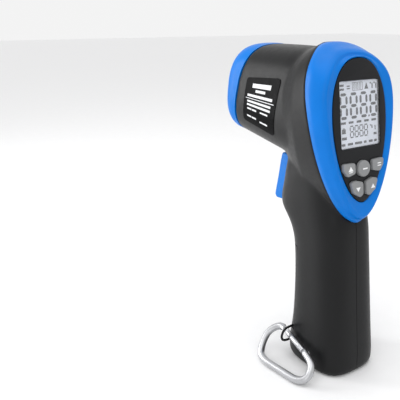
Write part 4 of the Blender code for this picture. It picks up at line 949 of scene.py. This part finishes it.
def door_opening():
    """Cutters for the door in the front wall of the handle and for the notch of its knuckle."""
    opening = box(
        "door_opening",
        (-BEYOND, DOOR_REAR - GAP, DOOR_BOTTOM - DOOR_BOTTOM_GAP),
        (BEYOND, BEYOND, DOOR_TOP + DOOR_TOP_GAP),
    )
    y, z = DOOR_PIN_PLACE[0] * MM, DOOR_PIN_PLACE[1] * MM
    side = KNUCKLE_HALF_WIDTH + 2 * GAP
    notch = box(
        "knuckle_notch",
        (-side, y - KNUCKLE_RADIUS - 2 * GAP, z - KNUCKLE_RADIUS - 2 * GAP),
        (side, BEYOND, DOOR_TOP / 2),
    )
    return opening, notch


def battery_door(skin):
    """The front wall of the handle between the door's edges, with its knuckle and grip ribs."""
    y, z = DOOR_PIN_PLACE[0] * MM, DOOR_PIN_PLACE[1] * MM
    window = box("door_window", (-BEYOND, DOOR_REAR, DOOR_BOTTOM), (BEYOND, BEYOND, DOOR_TOP))
    combine(skin, "INTERSECT", window)
    web = box(
        "knuckle_web",
        (-KNUCKLE_HALF_WIDTH, y - 1.6 * MM, z),
        (KNUCKLE_HALF_WIDTH, y + 0.6 * MM, DOOR_BOTTOM + 1.0 * MM),
    )
    ends = (-KNUCKLE_HALF_WIDTH, y, z), (KNUCKLE_HALF_WIDTH, y, z)
    ribs = [grip_rib(k) for k in range(3)]
    combine(skin, "UNION", web, cylinder("knuckle", KNUCKLE_RADIUS, *ends), *ribs)
    reach = 2 * KNUCKLE_HALF_WIDTH
    bore = cylinder("knuckle_bore", DOOR_PIN_RADIUS + GAP, (-reach, y, z), (reach, y, z))
    return combine(skin, "DIFFERENCE", bore)


def grip_rib(index):
    """A short raised rib with round ends under the top edge of the door."""
    z = DOOR_TOP - RIB_DROP - RIB_PITCH * index
    front = handle_section(z)[1] - 0.05 * MM
    ends = [Vector((x, front, z)) for x in (-RIB_HALF_LENGTH, RIB_HALF_LENGTH)]
    return wire(f"grip_rib_{index}", ends, RIB_RADIUS)


# Bezel, nose and optics -------------------------------------------------------------------------


def bezel():
    """The coloured bezel as one hollow ring: out over the ridge, in to the panel, and back."""

    def between(share, ahead=0.0):
        return lambda z: border_y(z) + (ridge_y(z) - border_y(z)) * share + ahead

    def ridge_ring(grow, depth):
        outline = power_ring(
            RIDGE_HALF_WIDTH + grow, RIDGE_TOP + grow, RIDGE_BOTTOM + grow, EGG_POWERS
        )
        return [Vector((x, depth(HEAD_CENTRE_Z + v), HEAD_CENTRE_Z + v)) for x, v in outline]

    def panel_ring(grow, depth):
        return [DISPLAY @ Vector((x, depth, z)) for x, z in panel_outline(grow)]

    border = between(0.0, 0.05 * MM)
    outside = [
        head_ring(1.0, border, 0.0, BEZEL_TOP_DROP),
        head_ring(1.0, between(0.30), 0.0, BEZEL_TOP_DROP),
        ridge_ring(2.9 * MM, between(0.62)),
        ridge_ring(1.6 * MM, between(0.88)),
        ridge_ring(0.0, between(1.0)),
        ridge_ring(-1.8 * MM, between(1.0, 0.15 * MM)),
        panel_ring(1.1 * MM, -PANEL_PROUD + 0.25 * MM),
        panel_ring(GAP, -PANEL_PROUD + 0.7 * MM),
    ]
    inside = [
        panel_ring(GAP, PANEL_BACK),
        ridge_ring(1.2 * MM - WALL, between(0.70, 0.6 * MM)),
        head_ring(1.0, between(0.25), WALL),
        head_ring(1.0, border, WALL),
    ]
    ring = loft("bezel_ring", smooth_rings(outside, BEZEL_STEPS) + inside, closed=True)
    keep_inside(ring)
    show(ring, "housing", BLUE, "blue", "rear_bezel")


def oval(half_width, half_height):
    return power_ring(half_width, half_height, half_height, (OVAL_POWER, OVAL_POWER))


def nose_frame():
    """The place at the centre of the nose face, with Y straight out of it."""
    top = Vector((0.0, NOSE_FACE[0][0] * MM, NOSE_FACE[0][1] * MM))
    bottom = Vector((0.0, NOSE_FACE[1][0] * MM, NOSE_FACE[1][1] * MM))
    slope = math.atan2(bottom.y - top.y, top.z - bottom.z)
    return Matrix.Translation((top + bottom) / 2) @ Matrix.Rotation(slope, 4, "X")


def nose():
    """The coloured ring, and the plate, lens and laser fronts in its recess."""
    place = nose_frame()
    sections = [slanted_ring(BARREL_FRONT, 0.0, GAP)]
    sections += [slanted_ring(section) for section in (NOSE_BULGE, NOSE_SHOULDER, NOSE_FACE)]
    ring = loft("nose_shell", smooth_rings(sections, NOSE_STEPS))
    inset = WALL + GAP
    spigot = loft(
        "nose_spigot",
        [slanted_ring(BARREL_FRONT, inset, -4.0 * MM), slanted_ring(BARREL_FRONT, inset, 2.0 * MM)],
    )
    combine(ring, "UNION", spigot)
    cutters = [("recess", GAP, -PLATE_DEPTH - GAP), ("bore", -NOSE_STEP, -BEYOND)]
    combine(ring, "DIFFERENCE", *(
        prism(name, oval(PLATE_HALF_WIDTH + grow, PLATE_HALF_HEIGHT + grow), back, BEYOND, place)
        for name, grow, back in cutters
    ))
    show(ring, "housing", BLUE, "blue", "nose_ring")
    optics(place)


def optics(place):
    seat = -PLATE_DEPTH
    face = seat + PLATE_THICKNESS
    plate = prism("plate", oval(PLATE_HALF_WIDTH, PLATE_HALF_HEIGHT), seat, face, place)
    ring_radius = LENS_RADIUS + GAP
    laser_places = {
        name: place @ Matrix.Translation((0.0, 0.0, sign * LASER_OFFSET))
        for sign, name in ((1, "laser_upper"), (-1, "laser_lower"))
    }
    holes = [prism("lens_hole", circle(ring_radius + GAP, 96), -BEYOND, BEYOND, place)]
    holes += [
        prism("laser_hole", circle(LASER_RADIUS + GAP), -BEYOND, BEYOND, laser_place)
        for laser_place in reversed(laser_places.values())
    ]
    combine(plate, "DIFFERENCE", *holes)
    soften(plate, 0.3 * MM)
    show(plate, "housing", BLACK_PLASTIC, "black_plastic", "nose_plate")
    back, front = seat, face + 0.8 * MM
    inner = LENS_RADIUS
    profile = [
        (ring_radius, back), (ring_radius, front - 0.3 * MM), (ring_radius - 0.3 * MM, front),
        (inner - 0.6 * MM, front), (inner - 0.9 * MM, front - 0.3 * MM),
        (inner - 1.1 * MM, front - 1.2 * MM), (inner - 1.2 * MM, front - 1.2 * MM),
        (inner - 1.3 * MM, front - 2.2 * MM), (inner - 1.4 * MM, back),
    ]
    show(turned("retainer", profile, place), "housing", BLACK_PLASTIC, "black_plastic", "lens_retainer")
    lens_front = seat - GAP - 0.6 * MM
    lens_rear = lens_front - LENS_BULGE * 2 - LENS_EDGE
    shares = [k / LENS_STEPS for k in range(LENS_STEPS + 1)]
    profile = [(LENS_RADIUS * share, lens_front - LENS_BULGE * share**2) for share in shares]
    profile += [(LENS_RADIUS * share, lens_rear + LENS_BULGE * share**2) for share in shares[::-1]]
    show(turned("front_lens", profile, place), "housing", LENS, "lens", "lens")
    laser_front = seat + LASER_PROUD
    laser_back = laser_front - LASER_LENGTH
    profile = [
        (0.0, laser_front - 1.0 * MM), (0.9 * MM, laser_front - 1.0 * MM),
        (1.2 * MM, laser_front - 0.8 * MM), (1.5 * MM, laser_front - 0.15 * MM),
        (1.7 * MM, laser_front), (LASER_RADIUS - 0.3 * MM, laser_front),
        (LASER_RADIUS, laser_front - 0.3 * MM), (LASER_RADIUS, laser_back), (0.0, laser_back),
    ]
    for name, laser_place in laser_places.items():
        barrel = turned(name + "_barrel", profile, laser_place)
        show(barrel, "housing", BRASS, "brass", name)


# Display and keys -------------------------------------------------------------------------------


def panel_outline(grow=0.0):
    outline = power_ring(
        PANEL_HALF_WIDTH + grow, PANEL_TOP + grow, PANEL_BOTTOM + grow, PANEL_POWERS
    )
    return [(x, PANEL_CENTRE_Z + v) for x, v in outline]


def key_places():
    """Name, place of the centre, and outline about it, for each key."""
    keys_drawn = [("key_measure", MID_KEY_CENTRE, circle(KEY_ROUND_RADIUS + KEY_GROWTH["measure"]))]
    for name, centre, corners in (
        ("up", SIDE_KEY_CENTRE, SIDE_KEY_CORNERS),
        ("low", LOW_KEY_CENTRE, LOW_KEY_CORNERS),
    ):
        corners = [(x * MM, z * MM) for x, z in corners]
        for sign, hand in ((-1, "left"), (1, "right")):
            mirrored = [(sign * x, z) for x, z in rounded(corners, KEY_CORNER)]
            outline = grown(mirrored, KEY_GROWTH[name])
            keys_drawn.append((f"key_{name}_{hand}", (sign * centre[0], centre[1]), outline))
    return [
        (name, DISPLAY @ Matrix.Translation((x * MM, 0.0, z * MM)), outline)
        for name, (x, z), outline in keys_drawn
    ]


def grown(outline, amount):
    """An outline about its own centre, moved outwards by roughly the amount."""
    shares = [1 + amount / math.hypot(x, z) for x, z in outline]
    return [(x * share, z * share) for (x, z), share in zip(outline, shares)]


def rounded_edge(front, radius, steps):
    """Growth and depth of rings round a quarter circle, from the side of a solid to its front."""
    angles = [math.pi / 2 * k / steps for k in range(steps + 1)]
    return [(-radius * (1 - math.cos(a)), front + radius * (1 - math.sin(a))) for a in angles]


def panel():
    rings = [[Vector((x, PANEL_BACK, z)) for x, z in panel_outline()]]
    for grow, depth in rounded_edge(-PANEL_PROUD, PANEL_EDGE, 4):
        rings.append([Vector((x, depth, z)) for x, z in panel_outline(grow)])
    plate = flat_ended("panel_plate", rings, DISPLAY)
    holes = [(rectangle(LCD_WIDTH, LCD_HEIGHT, LCD_CORNER), DISPLAY)]
    holes += [(grown(outline, KEY_HOLE_CLEARANCE), place) for _, place, outline in key_places()]
    cutters = [prism("panel_hole", outline, -BEYOND, BEYOND, place) for outline, place in holes]
    combine(plate, "DIFFERENCE", *cutters)
    show(plate, "housing", PANEL, "panel", "display_panel")


def keys():
    """Keys with a rounded edge, a slightly domed top, and a plain printed mark."""
    back = PANEL_BACK + GAP
    rings = [(KEY_FLANGE, back + KEY_FLANGE_THICKNESS), (KEY_FLANGE, back), (0.0, back)]
    rings += rounded_edge(-KEY_PROUD + KEY_DOME, KEY_EDGE, 6)
    for name, place, outline in key_places():
        drawn = [[Vector((x, depth, z)) for x, z in grown(outline, grow)] for grow, depth in rings]
        top = grown(outline, -KEY_EDGE)
        for share in (0.8, 0.55, 0.3, 0.1):
            depth = -KEY_PROUD + KEY_DOME * share**2
            drawn.append([Vector((x * share, depth, z * share)) for x, z in top])
        key = flat_ended(name + "_cap", drawn, place)
        show(key, name, KEY_RUBBER, "key_rubber", name)
        key_mark(name, place)


def key_mark(name, place):
    """A plain arrow or bar printed on a key; no lettering."""
    front = -KEY_PROUD - MARK_HEIGHT
    shapes = {
        "key_measure": [rectangle(3.6 * MM, 0.8 * MM, 0.2 * MM)],
        "key_up_left": [triangle(1.9 * MM, 1), mark_bar(2.6, 0.45, (0.0, -1.7))],
        "key_up_right": [mark_bar(3.0, 0.55, (0.3, z)) for z in (-0.7, 0.7)],
        "key_low_left": [triangle(1.7 * MM, -1)],
        "key_low_right": [triangle(1.7 * MM, 1)],
    }
    mark, *others = [
        prism(f"{name}_mark_{k}", outline, front, front + 0.4 * MM, place)
        for k, outline in enumerate(shapes[name])
    ]
    if others:
        combine(mark, "UNION", *others)
    mark.name = name + "_mark"
    show(mark, name, KEY_INK, "key_rubber")


def mark_bar(width, height, centre):
    """A bar on a key, in millimetres."""
    centre = centre[0] * MM, centre[1] * MM
    return rectangle(width * MM, height * MM, 0.1 * MM, centre)


def triangle(reach, sign):
    return [(-reach, -sign * reach * 0.6), (reach, -sign * reach * 0.6), (0.0, sign * reach * 0.9)]


def lcd():
    """The clear window, the module with its glass face, which has a faint painted glow, and the
    segments on it.
    """
    seen = rectangle(LCD_WIDTH - 2 * GAP, LCD_HEIGHT - 2 * GAP, LCD_CORNER)
    window = prism("window_plate", seen, WINDOW_FRONT, WINDOW_BACK, DISPLAY)
    soften(window, 0.15 * MM)
    show(window, "housing", WINDOW, "window", "lcd_window")
    margin = 2 * MODULE_MARGIN
    outline = rectangle(LCD_WIDTH + margin, LCD_HEIGHT + margin, LCD_CORNER)
    module = prism("module_body", outline, MODULE_FLANGE, MODULE_BACK, DISPLAY)
    glass = prism("module_glass", seen, LCD_FACE, MODULE_FLANGE + 1.0 * MM, DISPLAY)
    combine(module, "UNION", glass)
    show(module, "housing", LCD_GLASS, "lcd", "lcd_module")
    segments()


def lcd_place(u, v):
    """The (x, z) place of shares of the LCD's width and height from its top left corner."""
    return (u - 0.5) * LCD_WIDTH, (0.5 - v) * LCD_HEIGHT


def bar(u, v, width, height):
    """A plain bar, all in shares of the LCD's size."""
    return [lcd_place(u + a * width, v + b * height) for a, b in ((0, 0), (1, 0), (1, 1), (0, 1))]


def digit(u, v, width, height, stroke):
    """The seven segments of a lit 8, each a six-sided bar with a gap to the next."""
    left, top = lcd_place(u, v)
    right, bottom = lcd_place(u + width, v + height)
    half = stroke / 2
    start = half * (1 + 2 * SEGMENT_GAP)
    middle = (top + bottom) / 2
    shapes = []
    for z in (top - half, middle, bottom + half):
        low, high = left + start, right - start
        shapes.append([(low, z), (low + half, z + half), (high - half, z + half), (high, z),
                       (high - half, z - half), (low + half, z - half)])
    for x in (left + half, right - half):
        for above, below in ((top - half, middle), (middle, bottom + half)):
            high, low = above - start, below + start
            shapes.append([(x, high), (x + half, high - half), (x + half, low + half), (x, low),
                           (x - half, low + half), (x - half, high - half)])
    return shapes


def segments():
    """Big and small digits, and plain bars and blocks for the rows of signs round them."""
    shapes = []
    for count, u, pitch, v, width, height, stroke in DIGIT_ROWS:
        for k in range(count):
            shapes += digit(u + pitch * k, v, width, height, stroke * MM)
    shapes += [bar(*sign) for sign in LCD_SIGNS]
    shapes += [bar(u, LCD_WORD_ROW, *LCD_WORD_SIZE) for u in LCD_WORDS]
    shapes += [bar(u, LCD_FOOT_ROW, width, LCD_FOOT_HEIGHT) for u, width in LCD_FOOT_WORDS]
    shapes.append([lcd_place(*corner) for corner in LCD_WARNING])
    bm = bmesh.new()
    for outline in shapes:
        rings = drawn_out(outline, LCD_FACE - INK_HEIGHT, LCD_FACE - INK_HEIGHT / 4)
        add_flat_ended(bm, [[DISPLAY @ point for point in ring] for ring in rings])
    show(from_bmesh("lcd_segments", bm), "housing", LCD_INK, "lcd")


# Trigger ----------------------------------------------------------------------------------------


def trigger():
    y, z = TRIGGER_PIVOT[0] * MM, TRIGGER_PIVOT[1] * MM
    outline = rounded([(a * MM, b * MM) for a, b in TRIGGER_PROFILE], TRIGGER_CORNER)
    blade = prism("trigger_blade", outline, -TRIGGER_HALF_WIDTH, TRIGGER_HALF_WIDTH, axis="X")
    soften(blade, 1.7 * MM, 6, 50.0)
    reach = 2 * TRIGGER_HALF_WIDTH
    bore = cylinder("trigger_bore", TRIGGER_PIN_RADIUS + GAP, (-reach, y, z), (reach, y, z))
    combine(blade, "DIFFERENCE", bore)
    show(blade, "trigger", BLUE, "blue", "trigger")


# Label ------------------------------------------------------------------------------------------


def even_outline(outline, step):
    """The outline with points added so that no side is longer than the step."""
    result = []
    for here, after in zip(outline, outline[1:] + outline[:1]):
        count = max(1, math.ceil((after - here).length / step))
        result += [here.lerp(after, k / count) for k in range(count)]
    return result


def label(skin):
    """The sticker that follows the curved left flank, with plain bars for its print."""
    corners = [Vector((y * MM, z * MM)) for y, z in LABEL_CORNERS]
    rear_low, front_low, front_high, rear_high = corners
    outline = even_outline(rounded(corners, LABEL_CORNER_RADIUS), LABEL_STEP)
    middle = sum(outline, Vector((0.0, 0.0))) / len(outline)

    def spot(flat, height):
        """The point on the flank beside a (y, z) place, raised above the skin."""
        start = Vector((-BEYOND, flat.x, flat.y))
        hit, normal, _, _ = skin.ray_cast(start, Vector((1.0, 0.0, 0.0)))
        return hit + normal * height

    bm = bmesh.new()
    shares = [k / LABEL_RINGS for k in range(1, LABEL_RINGS + 1)]
    rings = [[middle]] + [[middle.lerp(point, share) for point in outline] for share in shares]
    under, over = LABEL_GAP, LABEL_GAP + LABEL_FILM
    levels = [(ring, under) for ring in rings] + [(ring, over) for ring in rings[::-1]]
    join_rows(bm, [[bm.verts.new(spot(flat, height)) for flat in ring] for ring, height in levels])
    show(from_bmesh("label_sheet", bm), "housing", LABEL, "label", "side_label")

    bm = bmesh.new()
    for u, v, width, height in LABEL_BARS:
        rings = []
        for k in range(BAR_STEPS + 1):
            along = u + width * k / BAR_STEPS
            top = rear_high.lerp(front_high, along)
            low = rear_low.lerp(front_low, along)
            near, far = top.lerp(low, v), top.lerp(low, v + height)
            inner, outer = under + LABEL_FILM / 2, over + PRINT_HEIGHT
            rings.append([spot(near, inner), spot(near, outer), spot(far, outer), spot(far, inner)])
        add_flat_ended(bm, rings)
    show(from_bmesh("label_print", bm), "housing", LABEL_INK, "label")


# Carabiner --------------------------------------------------------------------------------------


def side_wall(y, z):
    """Half-width of the handle at a depth and a height."""
    rear, front, half_width = handle_section(z)
    middle = (rear + front) / 2
    share = min(1.0, abs(y - middle) / (middle - rear))
    return half_width * (1 - share**HANDLE_POWER) ** (1 / HANDLE_POWER)


def carabiner_place():
    """The place at the start of the spine: X along the spine, Y up the leaning plane."""
    wall = side_wall(LEAN_PLACE[0] * MM, LEAN_PLACE[1] * MM)
    start = Vector((-wall - SPINE_START[0] * MM, SPINE_START[1] * MM, WIRE_RADIUS))
    end = Vector((-wall - SPINE_END[0] * MM, SPINE_END[1] * MM, WIRE_RADIUS))
    along = (end - start).normalized()
    level = Vector((0.0, 0.0, 1.0)).cross(along)
    if level.x < 0:
        level.negate()
    rise = level * math.cos(CARABINER_LEAN) + Vector((0.0, 0.0, 1.0)) * math.sin(CARABINER_LEAN)
    turn = Matrix((along, rise, along.cross(rise))).transposed().to_4x4()
    return Matrix.Translation(start) @ turn


def smooth_path(corners):
    """The wire's centre line: arcs at the corners, kept straight at both ends and along the spine."""
    path = [corners[0]]
    for before, here, after in zip(corners, corners[1:], corners[2:]):
        ends = []
        for other in (before, after):
            side = other - here
            share = 0.5 if side.length < LONG_SIDE else SPINE_BEND / side.length
            ends.append(here + side * share)
        start, end = ends
        for step in range(BEND_STEPS + 1):
            t = step / BEND_STEPS
            point = (1 - t) ** 2 * start + 2 * t * (1 - t) * here + t**2 * end
            if (point - path[-1]).length > 0.05 * MM:
                path.append(point)
    path.append(corners[-1])
    return path


def oriented_box(name, place, centre, along, inward, run, across, half_depth):
    """A box in the carabiner's plane; run and across are ranges in millimetres."""
    bm = bmesh.new()
    for a in run:
        for b in across:
            flat = centre + along * a * MM + inward * b * MM
            for depth in (-half_depth * MM, half_depth * MM):
                bm.verts.new(place @ Vector((flat.x, flat.y, depth)))
    bmesh.ops.convex_hull(bm, input=bm.verts)
    return from_bmesh(name, bm)


def carabiner():
    """The bent wire with its fork and hook, the sprung gate, and the bores for the pin."""
    place = carabiner_place()
    corners = [GATE_PIVOT, *HOOK_CORNERS, GATE_NOSE]
    path = smooth_path([Vector((u * MM, v * MM)) for u, v in corners])
    body = wire("hook_wire", [place @ Vector((u, v, 0.0)) for u, v in path], WIRE_RADIUS)
    pivot = Vector((GATE_PIVOT[0] * MM, GATE_PIVOT[1] * MM))
    nose_end = Vector((GATE_NOSE[0] * MM, GATE_NOSE[1] * MM))
    along = (nose_end - pivot).normalized()
    inward = Vector((-along.y, along.x))
    if inward.y > 0:
        inward.negate()

    def at(point, out=0.0):
        return place @ Vector((point.x, point.y, out))

    start = pivot - along * 0.5 * MM
    end = nose_end - along * 0.4 * MM
    fork = oriented_box("fork", place, start, along, inward, *FORK_ROOM)
    hook = oriented_box("hook", place, nose_end, along, inward, *HOOK_ROOM)
    ends = at(start, -4 * MM), at(start, 4 * MM)
    hole = cylinder("pin_hole", GATE_PIN_RADIUS + GAP, *ends, count=32)
    combine(body, "DIFFERENCE", fork, hook, hole, solver="EXACT")
    keep_inside(body)
    show(body, "carabiner", ALUMINIUM, "aluminium", "carabiner_body")
    bar_ends = [at(start + along * BAR_START), at(end - along * BAR_STOP)]
    gate = wire("gate_bar", bar_ends, GATE_RADIUS, 10)
    soften(gate, 0.25 * MM, 3, 60.0)
    tang = oriented_box("tang", place, start, along, inward, *TANG)
    tongue = oriented_box("tongue", place, end, along, inward, *TONGUE)
    combine(gate, "UNION", tang, tongue, solver="EXACT")
    bore = cylinder("gate_bore", GATE_PIN_RADIUS + GAP, *ends, count=32)
    combine(gate, "DIFFERENCE", bore, solver="EXACT")
    show(gate, "gate", ALUMINIUM, "aluminium", "carabiner_gate")
    direction = place.to_3x3() @ Vector((along.x, along.y, 0.0))
    lanyard_eye(at(start + along * EYE_PLACE + inward * EYE_SHIFT), direction)


def lanyard_eye(centre, along):
    """The staple on the toe of the handle, round the gate."""
    wall_x = -side_wall(centre.y, centre.z) - 2 * GAP
    up = Vector((1.0, 0.0, 0.0)).cross(along).normalized()
    if up.z < 0:
        up.negate()
    out = centre.x - EYE_HALF_SPAN + 0.4 * MM
    points = []
    for step in range(EYE_STEPS + 1):
        angle = math.pi * step / EYE_STEPS
        reach = max(0.0, math.sin(angle)) ** 0.5
        spot = centre + up * math.cos(angle) * EYE_HALF_SPAN
        points.append(Vector((wall_x + (out - wall_x) * reach, spot.y, spot.z)))
    show(wire("eye_wire", points, EYE_WIRE), "housing", SHELL, "shell", "lanyard_eye")


# Studio -----------------------------------------------------------------------------------------


def floor():
    bm = bmesh.new()
    bmesh.ops.create_grid(bm, x_segments=24, y_segments=24, size=FLOOR_HALF_WIDTH)
    ground = from_bmesh("studio_floor", bm)
    ground.location.z = -0.2 * MM
    ground.data.materials.append(surface("pale_floor", (0.9, 0.9, 0.905), 0.6, mottle=0.01, grain=0.1))


def softbox(name, place, aim, width, height, radiance):
    """A rectangular area light at a place, facing a point, with the given radiance."""
    light = bpy.data.lights.new(name, "AREA")
    light.shape = "RECTANGLE"
    light.size, light.size_y = width, height
    light.energy = radiance * math.pi * width * height
    lamp = bpy.data.objects.new(name, light)
    lamp.location = place
    lamp.rotation_euler = (Vector(aim) - Vector(place)).to_track_quat("-Z", "Y").to_euler()
    COLLECTION.objects.link(lamp)


def studio():
    floor()
    aim = (0.0, 0.02, 0.12)
    softbox("overhead", (-0.15, 0.0, 1.1), aim, 1.0, 1.0, 1.3)
    softbox("side_strip", (-0.50, 0.60, 0.22), aim, 0.16, 0.7, 8.5)
    softbox("camera_fill", (-0.75, -0.55, 0.55), aim, 0.6, 0.6, 1.0)
    world = bpy.data.worlds.new("studio_white")
    world.use_nodes = True
    background = world.node_tree.nodes["Background"]
    background.inputs["Color"].default_value = (1.0, 1.0, 1.0, 1.0)
    background.inputs["Strength"].default_value = 0.9
    bpy.context.scene.world = world
    bpy.context.scene.view_settings.view_transform = "Standard"


def camera():
    lens = bpy.data.cameras.new("camera")
    lens.sensor_width = 36.0
    lens.lens = CAMERA_LENS
    lens.shift_x = CAMERA_SHIFT
    lens.clip_start = 0.01
    eye = bpy.data.objects.new("camera", lens)
    eye.location = CAMERA_PLACE
    eye.rotation_euler = (math.radians(90) - CAMERA_PITCH, 0.0, CAMERA_AZIMUTH)
    COLLECTION.objects.link(eye)
    bpy.context.scene.camera = eye


# Assembly ---------------------------------------------------------------------------------------

flank = housing()
bezel()
nose()
panel()
lcd()
keys()
trigger()
label(flank)
carabiner()
finish_cad_nodes()
studio()
camera()
